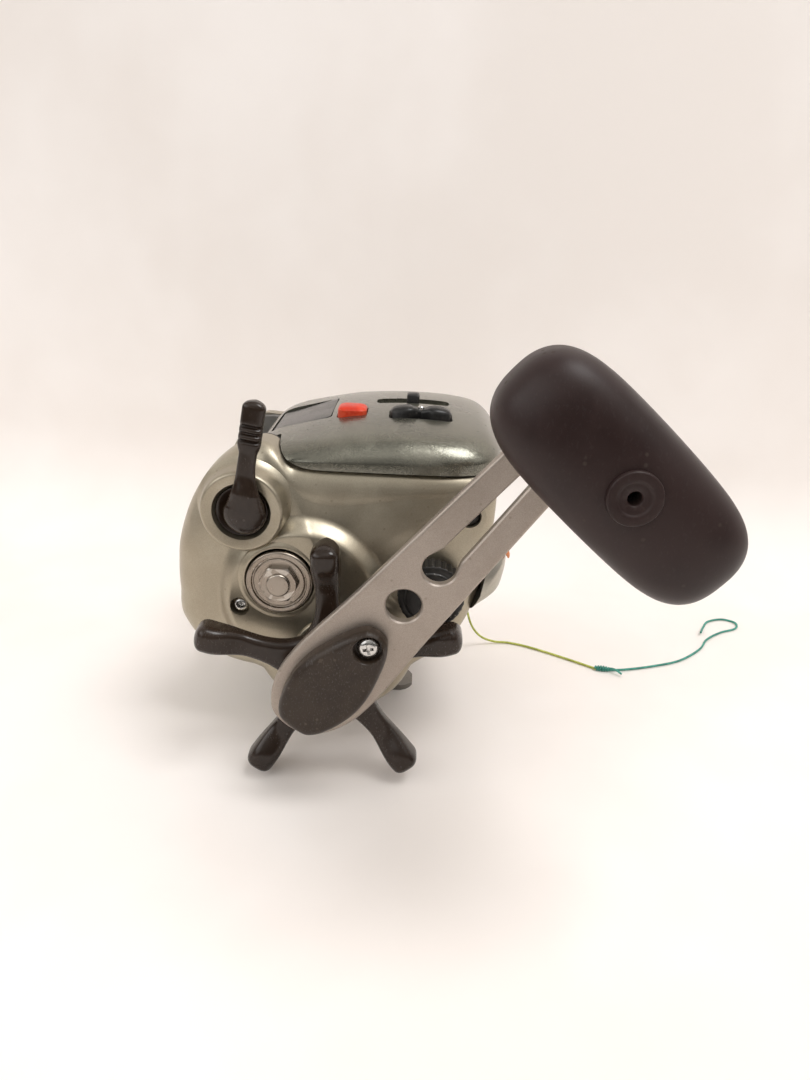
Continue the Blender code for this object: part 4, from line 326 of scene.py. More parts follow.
cords = {
    "line": [(-0.0150, 0.0300, 0.0365), (-0.0150, 0.0345, 0.0365), (-0.0156, 0.0388, 0.0350),
             (-0.0172, 0.0420, 0.0305), (-0.0194, 0.0440, 0.0245), (-0.0220, 0.0455, 0.0180),
             (-0.0255, 0.0480, 0.0105), (-0.0290, 0.0520, 0.0045), (-0.0315, 0.0575, 0.0012),
             (-0.0320, 0.0640, 0.0006), (-0.0290, 0.0720, 0.0006), (-0.0220, 0.0840, 0.0006),
             (-0.0140, 0.0962, 0.0006)],
    "tail": [(-0.0136, 0.0998, 0.0006), (-0.0150, 0.1080, 0.0006), (-0.0185, 0.1190, 0.0006),
             (-0.0240, 0.1310, 0.0006), (-0.0340, 0.1420, 0.0006), (-0.0430, 0.1480, 0.0006),
             (-0.0500, 0.1560, 0.0006), (-0.0545, 0.1640, 0.0006), (-0.0600, 0.1660, 0.0006),
             (-0.0630, 0.1610, 0.0006), (-0.0600, 0.1540, 0.0006), (-0.0540, 0.1500, 0.0006),
             (-0.0470, 0.1466, 0.0017)],
    "diameter": 0.00085,
    "around": 10,
}


def tubeAlong(name, route, radius, steps):
    # rings stand square to the route: one side is the cross product of the route's direction with up
    path = throughPoints(route, steps)
    ahead = np.gradient(path, axis=0)
    ahead /= np.linalg.norm(ahead, axis=1, keepdims=True)
    up = np.array([0.0, 0.0, 1.0]) - ahead * ahead[:, 2:3]
    flat = np.linalg.norm(up, axis=1, keepdims=True) < 0.05
    up = np.where(flat, np.array([1.0, 0.0, 0.0]) - ahead * ahead[:, 0:1], up)
    up /= np.linalg.norm(up, axis=1, keepdims=True)
    aside = np.cross(ahead, up)
    angle = fullTurn(cords["around"])
    rings = path[:, None] + radius * (np.cos(angle)[None, :, None] * aside[:, None]
                                      + np.sin(angle)[None, :, None] * up[:, None])
    piece = ringSurface(name, rings, path[0], path[-1], 60)
    markAlong(piece, path, angle)
    return piece, path


def markAlong(piece, path, angle):
    # every corner keeps the cosine and sine of its turn round the line and its distance along it, for the braid
    travelled = np.concatenate([[0], np.cumsum(np.linalg.norm(np.diff(path, axis=0), axis=1))])
    along = np.stack([np.tile(np.cos(angle), len(path)), np.tile(np.sin(angle), len(path)),
                      np.repeat(travelled, len(angle))], axis=-1)
    along = np.vstack([along, [(0, 0, 0), (0, 0, travelled[-1])]])
    layer = piece.data.attributes.new("along", "FLOAT_VECTOR", "POINT")
    layer.data.foreach_set("vector", along.astype(np.float32).ravel())


half = cords["diameter"] / 2
fishingLine, linePath = tubeAlong("fishingLine", cords["line"], half, 10)
finishPiece(fishingLine, "guide", "line", "fishing_line")
tailLine, tailPath = tubeAlong("tailLine", cords["tail"], half, 10)
finishPiece(tailLine, "guide", "line", "line_tail")
print("cords laid")


wound = {"half": 0.0173, "turns": 40, "radius": 0.0172, "thickness": 0.00043, "steps": 44, "around": 8}


def makeWoundLine():
    # a helix about the spool's axis, one layer of even turns from flange to flange
    share = np.linspace(0, 1, wound["turns"] * wound["steps"])
    turn = math.tau * wound["turns"] * share
    out = np.stack([np.zeros_like(turn), np.cos(turn), np.sin(turn)], axis=-1)
    path = np.stack([-wound["half"] + 2 * wound["half"] * share,
                     spots["spool"][0] + wound["radius"] * np.cos(turn),
                     spots["spool"][1] + wound["radius"] * np.sin(turn)], axis=-1)
    angle = fullTurn(wound["around"])
    rings = path[:, None] + wound["thickness"] * (np.cos(angle)[None, :, None] * out[:, None]
                                                  + np.sin(angle)[None, :, None] * np.array([1.0, 0, 0]))
    piece = ringSurface("woundLine", rings, path[0], path[-1], 60)
    markAlong(piece, path, angle)
    finishPiece(piece, "spool", "line", "wound_line")


knot = {"from": (-0.0142, 0.0953, 0.0011), "to": (-0.0135, 0.1006, 0.0011), "wraps": 5.5, "radius": 0.00062,
        "half": 0.00040, "tag": ((-0.0128, 0.1016, 0.0018), (-0.0112, 0.1029, 0.0020), (-0.0098, 0.1046, 0.0013))}


def makeKnot():
    # the line's end wraps round its own start and leaves as a short tag
    share = np.linspace(0, 1, 67)
    turn = math.tau * knot["wraps"] * share
    start, end = np.array(knot["from"]), np.array(knot["to"])
    ahead = (end - start) / np.linalg.norm(end - start)
    aside = np.array([ahead[1], -ahead[0], 0])
    swell = knot["radius"] * (0.75 + 0.5 * np.sin(math.pi * share))[:, None]
    path = start + (end - start) * share[:, None] + swell * (np.cos(turn)[:, None] * aside
                                                             + np.sin(turn)[:, None] * np.array([0, 0, 1.0]))
    piece, _ = tubeAlong("lineKnot", np.vstack([path, knot["tag"]]), knot["half"], 3)
    finishPiece(piece, "guide", "line", "line_knot")


makeWoundLine()
makeKnot()
print("line wound and knotted")

# side covers

cover = {
    "rear": -0.0489, "length": 0.0952, "base": 0.0255, "height": 0.0731, "centre": (0.5, 0.48), "leftTop": 0.905,
    "shares": ((0.012, 0.200), (0.000, 0.330), (0.000, 0.440), (0.010, 0.560), (0.050, 0.715), (0.108, 0.842),
               (0.172, 0.922), (0.229, 0.965), (0.275, 0.983), (0.316, 0.968), (0.346, 0.931), (0.384, 0.902),
               (0.460, 0.887),
               (0.700, 0.887), (0.880, 0.887), (0.970, 0.883), (0.993, 0.845), (0.995, 0.720), (0.985, 0.560),
               (0.962, 0.400), (0.915, 0.230), (0.830, 0.095), (0.650, 0.010), (0.300, 0.000), (0.120, 0.060)),
    "rim": 0.0256, "rightFace": 0.0420, "leftFace": 0.0400, "wall": 0.0020,
    "edge": 0.0045, "rearEdge": 0.0100, "topRoll": 0.0050, "crown": 0.0020,
    "lobeRadius": 0.0246, "lobeRise": 0.0008, "lobeSoft": 0.0030, "lobeBlend": 0.0012,
    "domeRadius": 0.0236, "domeRise": 0.0036, "domeSoft": 0.0052,
    "farRadius": 0.0190, "farRise": 0.0026, "farSoft": 0.0045,
    "topFrom": 0.15, "topShallower": 0.32, "around": 420, "faceRows": 110,
}
coverCentre = np.array([cover["rear"] + cover["length"] * cover["centre"][0],
                        cover["base"] + cover["height"] * cover["centre"][1]])


def coverShape(side):
    # the moulded outline in Y and Z; the far side has no hump
    shares = np.array(cover["shares"])
    if side < 0:
        shares[:, 1] = np.minimum(shares[:, 1], cover["leftTop"])
    return shares * (cover["length"], cover["height"]) + (cover["rear"], cover["base"])


def coverReach(angle, side):
    # distance from the centre to the outline: the larger of the moulded outline and the round gear lobe
    loop = throughPoints(coverShape(side), 24, closed=True) - coverCentre
    turn = np.arctan2(loop[:, 1], loop[:, 0])
    order = np.argsort(turn)
    reach = np.interp(angle, turn[order], np.linalg.norm(loop, axis=1)[order], period=math.tau)
    toLobe = np.array(spots["shaft"]) - coverCentre
    along = np.cos(angle) * toLobe[0] + np.sin(angle) * toLobe[1]
    inside = cover["lobeRadius"] ** 2 - (toLobe @ toLobe - along ** 2)
    lobe = np.where((inside > 0) & (along > 0), along + np.sqrt(np.maximum(inside, 0)), 0)
    return (reach + lobe + np.sqrt((reach - lobe) ** 2 + cover["lobeBlend"] ** 2)) / 2


def coverShell(name, side, face, lift):
    # polar sheet: rows run from the middle out over the face, round the edge, down to the rim, and back inside
    angle = np.linspace(-math.pi, math.pi, cover["around"], endpoint=False)
    reach = coverReach(angle, side)
    ahead = polar(1.0, angle)
    rearward = smoothStep((-ahead[:, 0] - 0.15) / 0.6) * smoothStep((ahead[:, 1] + 0.75) / 0.5)
    edge = cover["edge"] + (cover["rearEdge"] - cover["edge"]) * rearward
    topward = smoothStep((ahead[:, 1] - cover["topFrom"]) / 0.5)
    deep = edge * (1 - cover["topShallower"] * topward * (1 - rearward))
    edge = edge + cover["topRoll"] * topward * (1 - rearward)
    ceiling, wall = face - cover["crown"] - cover["wall"], cover["wall"]

    def outBy(distance):
        return coverCentre + ahead * distance[:, None]

    rows = []
    for share in np.linspace(0, 1, cover["faceRows"] + 1)[1:]:
        spot = outBy((reach - edge) * share)
        rows.append(atX(spot, face - cover["crown"] * share ** 2 + lift(spot)))
    last = rows[-1][:, 0]
    depth = np.minimum(deep, last - cover["rim"] - 0.002)
    for turn in np.radians(np.linspace(0, 90, 13)[1:]):
        rows.append(atX(outBy(reach - edge + edge * math.sin(turn)), last - depth * (1 - math.cos(turn))))
    rows += [atX(outBy(reach - draw), cover["rim"]) for draw in (0, wall)]
    for turn in np.radians(np.linspace(90, 0, 7)):
        rows.append(atX(outBy(reach - edge + (edge - wall) * math.sin(turn)),
                        ceiling - (edge - wall) * (1 - math.cos(turn))))
    rows += [atX(outBy((reach - edge) * share), ceiling) for share in np.linspace(1, 0, 12)[1:-1]]
    rings = np.array(rows) * (side, 1, 1)
    return ringSurface(name, rings, (side * (face + float(lift(coverCentre[None])[0])), *coverCentre),
                       (side * ceiling, *coverCentre))


def rightLift(spot):
    # raised round dome at the spool and a low round boss at the crank, each fading out over a soft edge
    toDome = np.linalg.norm(spot - spots["dome"], axis=1)
    toShaft = np.linalg.norm(spot - spots["shaft"], axis=1)
    dome = cover["domeRise"] * smoothStep((cover["domeRadius"] + cover["domeSoft"] / 2 - toDome) / cover["domeSoft"])
    lobe = cover["lobeRise"] * smoothStep((cover["lobeRadius"] - toShaft) / cover["lobeSoft"])
    return np.maximum(dome, lobe)


def leftLift(spot):
    # one wide turned boss over the far spool bearing
    toSpool = np.linalg.norm(spot - spots["spool"], axis=1)
    return cover["farRise"] * smoothStep((cover["farRadius"] - toSpool) / cover["farSoft"])


boss = {
    "leverTop": 0.0475, "leverRecess": 0.0077, "leverFloor": 0.0432, "capSeat": 0.0420, "capHole": 0.0099,
    "capTop": 0.0457, "neckTop": 0.0462, "neckHole": 0.0089,
    "screwPost": 0.0046, "screwHole": 0.0015,
}


def turnedTool(corners, spot, side=1, around=96):
    # a turned shape that builds up or cuts a cover, from (x, radius, rounding) corners
    profile = roundedPath(corners)
    profile[:, 0] *= side
    return turnedPiece("tool", profile, spots[spot] if isinstance(spot, str) else spot, around)


def rod(low, high, radius, spot, side=1, around=96):
    # a plain round tool between two places along X
    return turnedTool(((low, radius, 0), (high, radius, 0)), spot, side, around)


def makeRightCover():
    piece = coverShell("rightCover", 1, cover["rightFace"], rightLift)
    inside = cover["rightFace"] - cover["wall"]
    weldOn(piece,
           turnedTool(((inside, 0.0140, 0), (0.0420, 0.0124, 0.0014), (0.0466, 0.0118, 0.0007),
                       (boss["leverTop"], 0.0112, 0.0005), (boss["leverTop"] - 0.0003, 0.0086, 0), (0.0460, 0, 0)),
                      "lever"),
           turnedTool(((inside, 0.0134, 0), (0.0448, 0.0124, 0.0004), (0.0453, 0.0116, 0.0008),
                       (boss["capTop"], 0.0108, 0.0005)), "spool"),
           turnedTool(((inside, 0.0145, 0), (0.0430, 0.0128, 0.0014), (0.0460, 0.0117, 0.0006),
                       (boss["neckTop"], 0.0112, 0.0004)), "shaft"))
    for spot in ("rearScrew", "frontScrew"):
        weldOn(piece, rod(cover["rim"], inside, boss["screwPost"], spot, around=40))
    carve(piece,
          turnedTool(((boss["leverFloor"], 0.0066, 0.0010), (0.0462, boss["leverRecess"], 0.0010),
                      (0.0476, 0.0086, 0), (0.0495, 0.0100, 0)), "lever"),
          turnedTool(((boss["capSeat"], boss["capHole"], 0.0003), (boss["capTop"] - 0.0005, boss["capHole"], 0.0003),
                      (boss["capTop"] + 0.0002, 0.0104, 0), (0.0475, 0.0118, 0)), "spool"),
          turnedTool(((0.0390, boss["neckHole"], 0), (0.0458, boss["neckHole"], 0.0003), (0.0464, 0.0093, 0),
                      (0.0480, 0.0105, 0)), "shaft"),
          rod(0.0390, 0.0440, 0.0034, "lever"),
          rod(0.0380, 0.0425, 0.0033, "spool"),
          rod(0.0380, 0.0440, 0.0028, "brake"),
          turnedTool(((0.0412, 0.0029, 0), (0.0451, 0.0029, 0.0003), (0.0458, 0.0033, 0),
                      (0.0475, 0.0046, 0)), "rearScrew", around=48),
          turnedTool(((0.0373, 0.0033, 0), (0.0404, 0.0033, 0.0004), (0.0412, 0.0038, 0),
                      (0.0430, 0.0050, 0)), "frontScrew", around=48),
          rod(0.0240, 0.0430, boss["screwHole"], "rearScrew", around=20),
          rod(0.0240, 0.0420, boss["screwHole"], "frontScrew", around=20))
    finishPiece(piece, "body", "champagne_shell", "right_side_cover")


def makeLeftCover():
    piece = coverShell("leftCover", -1, cover["leftFace"], leftLift)
    weldOn(piece, rod(0.0354, 0.0390, 0.0080, "spool", -1))
    carve(piece,
          rod(0.0334, 0.0383, 0.0063, "spool", -1),
          turnedTool(((0.0300, 0.0065, 0), (0.0392, 0.0065, 0.0003), (0.0404, 0.0072, 0),
                      (0.0430, 0.0080, 0)), "inlet", -1))
    finishPiece(piece, "body", "champagne_shell", "left_side_cover")


plate = {"low": 0.0223, "high": 0.0253, "drawIn": 0.0006, "lobe": 0.0240,
         "holes": (("shaft", 0.0067), ("spool", 0.0063), ("worm", 0.0029), ("rearScrew", 0.0015),
                   ("frontScrew", 0.0015))}


def makeRightPlate():
    # flat plate just inside the cover's outline, with the bearing and screw holes
    outline = growLoop(throughPoints(coverShape(1), 6, closed=True)[::-1], -plate["drawIn"])
    piece = slabPiece("rightPlate", outline, plate["low"], plate["high"], 0.0003, coverCentre)
    lobe = slabPiece("tool", circleLoop(plate["lobe"], 96, spots["shaft"]), plate["low"], plate["high"], 0.0003,
                     spots["shaft"])
    weldOn(piece, lobe)
    for spot, radius in plate["holes"]:
        carve(piece, rod(plate["low"] - 0.001, plate["high"] + 0.001, radius, spot, around=48))
    finishPiece(piece, "body", "dark_metal", "right_side_plate")


makeRightCover()
makeLeftCover()
makeRightPlate()
print("side covers made")

# counter housing

housing = {
    "halfWidth": 0.0395, "rear": -0.0255, "front": 0.0484, "base": 0.0908, "rise": 0.0130, "edge": 0.0075,
    "arch": 0.6, "power": 0.42, "shoulder": 0.58, "wall": 0.0020, "seam": 0.0004, "around": 360, "rows": 56,
    "profile": ((0, 0.335), (0.10, 0.500), (0.32, 0.835), (0.42, 0.930), (0.55, 0.990), (0.65, 1.0),
                (0.78, 0.960), (0.88, 0.860), (0.95, 0.720), (1, 0.560)),
}
window = {"halfWidth": 0.0140, "length": 0.0190, "thickness": 0.0016, "y": -0.0138, "tilt": 18.0, "corner": 0.0016,
          "sunk": 0.0005}
controls = {
    "button": (0.0125, 0.0020), "buttonSize": 0.0088, "buttonStand": 0.0024,
    "rocker": (0.0165, 0.0230), "rockerLength": 0.0186, "rockerWidth": 0.0074, "rockerStand": 0.0024,
    "rockerCrown": 0.0021, "waist": 0.58, "waistLength": 0.0024,
    "sliderY": 0.0205, "sliderWidth": 0.0046, "sliderLength": 0.0040, "sliderStand": 0.0026,
    "recessLength": 0.0230, "recessWidth": 0.0070, "recessDepth": 0.0017,
    "stemSlot": (0.0012, 0.0117, 0.0009), "stemRadius": 0.0009, "gap": 0.0003, "corner": 0.002,
    "cutLow": 0.085, "cutHigh": 0.120,
}
profileKnots = throughPoints(np.array(housing["profile"]), 12)


def housingTop(x, y):
    # a curved line along the housing; across it an ellipse takes its share of the height away towards the sides
    share = (np.asarray(y) - housing["rear"]) / (housing["front"] - housing["rear"])
    rise = np.interp(share, profileKnots[:, 0], profileKnots[:, 1])
    arch = np.sqrt(np.clip(1 - (np.asarray(x) / housing["halfWidth"]) ** 2, 0, 1))
    return housing["base"] + housing["rise"] * rise * (1 - housing["arch"] * (1 - arch))


windowPlace = (0, window["y"], float(housingTop(window["halfWidth"] / 2, window["y"])) - window["sunk"])
sliderSpot = (0, controls["sliderY"])
sliderFloor = float(housingTop(*sliderSpot)) - controls["recessDepth"]


def housingRows(drawIn, drop, edge, base, rowCount, turns):
    # plan rows from the middle out, then a rolled shoulder, then the wall down to the base
    middle = np.array([0, (housing["rear"] + housing["front"]) / 2])
    depth = (housing["front"] - housing["rear"]) / 2
    plan = superLoop(housing["halfWidth"] - drawIn, depth - drawIn, housing["power"], housing["around"], middle)
    spread = plan - middle
    reach = np.linalg.norm(spread, axis=1)
    rows = []
    for share in np.linspace(0, 1, rowCount + 1)[1:]:
        spot = middle + spread * (share * (1 - edge / reach))[:, None]
        rows.append(atZ(spot, housingTop(spot[:, 0], spot[:, 1]) - drop))
    for turn in np.radians(np.linspace(90, 0, turns + 1)[1:]):
        spot = middle + spread * (1 - edge * (1 - math.cos(turn)) / reach)[:, None]
        height = housingTop(spot[:, 0], spot[:, 1]) - drop - housing["base"]
        rows.append(atZ(spot, housing["base"] + height * (1 - housing["shoulder"] * (1 - math.sin(turn)))))
    rows.append(atZ(plan, base))
    return rows, (*middle, float(housingTop(0, middle[1])) - drop)


def makeHousing():
    outer, top = housingRows(0, 0, housing["edge"], housing["base"], housing["rows"], 14)
    inner, ceiling = housingRows(housing["wall"], housing["wall"], housing["edge"] - housing["wall"],
                                 housing["base"], 8, 6)
    piece = ringSurface("counterHousing", outer + inner[::-1], top, ceiling)
    for side in (-1, 1):
        low, high = sorted((side * 0.0220, side * 0.0445))
        seam = growLoop(throughPoints(coverShape(side), 6, closed=True)[::-1], housing["seam"])
        carve(piece, slabPiece("tool", seam, low, high, 0.0002, coverCentre))
    seat = roundSlab(window["halfWidth"] + 0.0004, window["length"] / 2 + 0.0004, window["corner"],
                     -window["thickness"] - 0.0003, 0.006)
    sight = roundSlab(window["halfWidth"] - 0.002, window["length"] / 2 - 0.002, window["corner"],
                      -0.008, 0.002)
    for tool in (seat, sight):
        tilted(tool)
    carve(piece, seat, sight)
    for place, across, along, corner in (("button", "buttonSize", "buttonSize", controls["corner"]),
                                         ("rocker", "rockerWidth", "rockerLength", controls["corner"] / 2)):
        carve(piece, roundSlab(controls[across] / 2 + controls["gap"], controls[along] / 2 + controls["gap"], corner,
                               controls["cutLow"], controls["cutHigh"], controls[place]))
    carve(piece, roundSlab(controls["recessWidth"] / 2, controls["recessLength"] / 2, controls["corner"],
                           sliderFloor, controls["cutHigh"], sliderSpot),
          roundSlab(*controls["stemSlot"], 0.085, 0.110, sliderSpot))
    finishPiece(piece, "body", "pearl_grey", "counter_housing")


def roundRect(halfAcross, halfUp, corner, centre=(0, 0)):
    # a rectangle whose corners are quarter circles
    turn = np.radians(np.linspace(0, 90, 9))
    arcs = []
    for quarter, (signX, signY) in enumerate(((1, 1), (-1, 1), (-1, -1), (1, -1))):
        swing = turn + math.pi / 2 * quarter
        arcs.append(polar(corner, swing, (signX * (halfAcross - corner), signY * (halfUp - corner))))
    return np.concatenate(arcs) + np.asarray(centre)


def roundSlab(halfAcross, halfUp, corner, low, high, centre=(0, 0)):
    # a straight-sided block with round corners, used to cut
    outline = roundRect(halfAcross, halfUp, corner, centre)
    return ringSurface("tool", [atZ(outline, level) for level in (low, high)], (*centre, low), (*centre, high))


def tilted(piece):
    # a mesh turned about X and moved to the window's place, its object left at the origin
    piece.data.transform(Matrix.Translation(windowPlace) @ Matrix.Rotation(math.radians(window["tilt"]), 4, "X"))


makeHousing()


def pillow(name, halfAcross, halfUp, corner, low, shoulder, crown, centre, rows=14):
    # a rounded block: straight walls up to the shoulder, then a top that swells by a smooth crown
    outline = evenLoop(roundRect(halfAcross, halfUp, corner), 96)
    rings = [atZ(outline + centre, low)]
    for share in np.linspace(1, 0, rows + 1)[:-1]:
        lift = (1 - share ** 3.2) ** 0.6
        rings.append(atZ(outline * share + centre, shoulder + crown * lift))
    return ringSurface(name, rings, (*centre, low), (*centre, shoulder + crown))


def makeControls():
    glass = pillow("displayWindow", window["halfWidth"], window["length"] / 2, window["corner"],
                   -window["thickness"], -0.0002, 0.0002, (0, 0))
    tilted(glass)
    finishPiece(glass, "body", "window", "display_window")
    spot, stand, half = controls["button"], controls["buttonStand"], controls["buttonSize"] / 2
    top = float(housingTop(*spot)) + stand
    button = pillow("powerButton", half, half, controls["corner"], top - 3 * stand, top - 0.0012, 0.0012, spot)
    finishPiece(button, "button", "red_button", "power_button")
    rocker = rockerPiece(controls["rocker"], float(housingTop(*controls["rocker"])) + controls["rockerStand"])
    finishPiece(rocker, "rocker", "black_plastic", "speed_rocker")
    floor, radius = sliderFloor, controls["stemRadius"]
    tab = pillow("speedSlider", controls["sliderWidth"] / 2, controls["sliderLength"] / 2, 0.0006,
                 floor + controls["gap"], floor + controls["recessDepth"] + controls["sliderStand"] - 0.0007, 0.0007,
                 sliderSpot)
    stem = turnedPiece("tool", ((floor - 0.002, radius), (floor + 0.001, radius)), (0, 0), 24)
    stem.data.transform(Matrix.Translation((*sliderSpot, 0)) @ Matrix.Rotation(-math.pi / 2, 4, "Y"))
    weldOn(tab, stem)
    finishPiece(tab, "slider", "black_plastic", "speed_slider")


def rockerPiece(centre, top):
    # two cushions side by side: the half width dips at the waist and the crown follows it
    halfLength, halfWidth = controls["rockerLength"] / 2, controls["rockerWidth"] / 2
    angle = fullTurn(160)
    up = halfLength * signedPower(np.sin(angle), 0.55)
    across = halfWidth * signedPower(np.cos(angle), 0.55)
    waist = 1 - controls["waist"] * np.exp(-(up / controls["waistLength"]) ** 2)
    outline = np.stack([across * waist, up], axis=-1)
    low, shoulder, crown = top - 2.5 * controls["rockerStand"], top - 0.0016, controls["rockerCrown"]
    rings = [atZ(outline + centre, low)]
    for share in np.linspace(1, 0, 15)[:-1]:
        spot = outline * share
        dip = np.exp(-(spot[:, 1] / 0.0022) ** 2)
        lift = (1 - share ** 3.4) ** 0.6
        rings.append(atZ(spot + centre, shoulder + crown * lift * (1 - 0.62 * dip)))
    return ringSurface("speedRocker", rings, (*centre, low), (*centre, shoulder + crown * 0.38))


makeControls()
print("counter housing and controls made")

# star drag

star = {
    "arms": 5, "turn": 92.4, "reach": 0.0398, "inner": 0.0513, "hubRadius": 0.0100, "hubTop": 0.0593,
    "neckHalf": 0.0032, "tipHalf": 0.0041, "thickness": 0.0052, "tipThickness": 0.0092, "padLength": 0.0080,
    "bore": 0.0033,
}


def starArm(turn):
    # a bar along the arm whose half width and height follow smooth steps, with superellipse sections
    share = np.linspace(0, 1, 70)
    along = 0.004 + (star["reach"] - 0.004) * (1 - (1 - share) ** 1.6)
    flare = 0.0052 * np.exp(-((along - 0.0085) / 0.0055).clip(0) ** 1.4)
    width = star["neckHalf"] + flare + (star["tipHalf"] - star["neckHalf"]) * smoothStep((along - 0.022) / 0.012)
    fromTip = star["reach"] - along
    width = width * np.sqrt(roundedTip(fromTip, 0.0036, 2.4)) + 0.00002
    height = star["thickness"] + (star["tipThickness"] - star["thickness"]) * smoothStep(
        (along - (star["reach"] - star["padLength"] - 0.0075)) / 0.0110)
    height = height * (0.45 + 0.55 * roundedTip(fromTip, 0.0030, 2.2) ** 0.5)
    return barPiece("tool", "shaft", turn, along, width, star["inner"], height, 0.62, 48)


def makeStar():
    hub = turnedTool(((star["inner"] - 0.0003, star["hubRadius"], 0.0006), (0.0556, 0.0102, 0.0010),
                      (0.0585, 0.0092, 0.0010), (star["hubTop"], 0.0080, 0.0005)), "shaft")
    hub.name = "starDrag"
    arms = [starArm(math.radians(star["turn"] + 360 * index / star["arms"])) for index in range(star["arms"])]
    weldOn(hub, *arms, sharpAngle=50)
    carve(hub, rod(0.0490, 0.0610, star["bore"], "shaft", around=48), sharpAngle=50)
    finishPiece(hub, "star", "brown_plastic", "star_drag")


makeStar()
print("star drag made")

# handle arm, its cap and the knob

arm = {
    "angle": 52.2, "length": 0.0985, "inner": 0.0650, "outer": 0.0680, "tipRadius": 0.0082, "holeAt": 0.0345,
    "holeRadius": 0.0048,
    "keyAt": 0.0487, "keyRadius": 0.0046, "slotEnd": 0.0856, "slotHalf": 0.0017, "rounding": 0.0008, "lean": 0.0014,
    "end": ((-0.0152, 0), (-0.0143, 0.0052), (-0.0118, 0.0083), (-0.0075, 0.0110), (-0.0015, 0.0129),
            (0.0060, 0.0134), (0.0140, 0.0130), (0.0220, 0.0123), (0.0300, 0.0117), (0.0400, 0.0112)),
    "leaf": ((-0.0131, 0), (-0.0129, 0.0032), (-0.0121, 0.0053), (-0.0095, 0.0075), (-0.0057, 0.0091),
             (-0.0010, 0.0103), (0.0038, 0.0107), (0.0090, 0.0102), (0.0140, 0.0089), (0.0190, 0.0072),
             (0.0230, 0.0053), (0.0254, 0.0031), (0.0262, 0)),
    "leafMiddle": 0.0062, "leafSize": 0.952, "leafHeight": 0.0050, "leafDraw": 0.0024,
    "screwAt": 0.0205, "screwHead": 0.0030, "screwHole": 0.0015, "axleHole": 0.0028, "shaftHole": 0.0033,
}


def alongArm(points):
    # (distance along the arm, offset across it) as Y and Z; the arm leans off its line towards the shaft
    points = np.asarray(points, float)
    across = points[..., 1:2] + arm["lean"] * (1 - points[..., 0:1] / arm["length"])
    turn = math.radians(arm["angle"])
    ahead = np.array([math.cos(turn), math.sin(turn)])
    aside = np.array([-ahead[1], ahead[0]])
    return np.array(spots["shaft"]) + points[..., 0:1] * ahead + across * aside


def armArc(centre, radius, start, end, steps=24):
    turn = np.radians(np.linspace(start, end, steps))
    return polar(radius, turn, (centre, 0))


def mirrored(half):
    # a smooth curve from one side round the arm's end to the other side, from (along, half width) points
    half = np.array(half)
    return throughPoints(np.vstack([(half * (1, 1))[::-1], (half * (1, -1))[1:]]), 8)


def throughTool(loop, flare=0.0004):
    # a hole through the arm whose lips open out at both faces
    low, high = arm["inner"], arm["outer"]
    levels = ((low - 0.001, flare + 0.0010), (low, flare), (low + flare, 0), (high - flare, 0), (high, flare),
              (high + 0.001, flare + 0.0010))
    rings = [atX(growLoop(loop, grow), level) for level, grow in levels]
    middle = loop.mean(axis=0)
    return ringSurface("tool", rings, (levels[0][0], *middle), (levels[-1][0], *middle))


def makeArm():
    end = mirrored(arm["end"])
    shape = np.concatenate([end, armArc(arm["length"], arm["tipRadius"], -87, 87, 32)])
    outline = evenLoop(alongArm(shape), 320)
    piece = slabPiece("handleArm", outline, arm["inner"], arm["outer"], arm["rounding"])
    hole = alongArm(armArc(arm["holeAt"], arm["holeRadius"], 0, 360, 73)[:-1])
    key = np.concatenate([armArc(arm["keyAt"], arm["keyRadius"], 62, 298, 48),
                          [[arm["keyAt"] + 0.0050, -0.0031], [arm["keyAt"] + 0.013, -0.0028]],
                          armArc(arm["slotEnd"], arm["slotHalf"], -90, 90, 14),
                          [[arm["keyAt"] + 0.013, 0.0028], [arm["keyAt"] + 0.0050, 0.0031]]])
    key = evenLoop(alongArm(key), 180)
    carve(piece, throughTool(hole), throughTool(key))
    low, high = arm["inner"] - 0.001, arm["outer"] + 0.001
    carve(piece, rod(low, high, arm["shaftHole"], "shaft"),
          throughTool(alongArm(armArc(arm["screwAt"], arm["screwHole"], 0, 360, 25)[:-1]), 0.0002),
          throughTool(alongArm(armArc(arm["length"], arm["axleHole"], 0, 360, 41)[:-1]), 0.0003))
    finishPiece(piece, "handle", "arm_silver", "handle_arm")


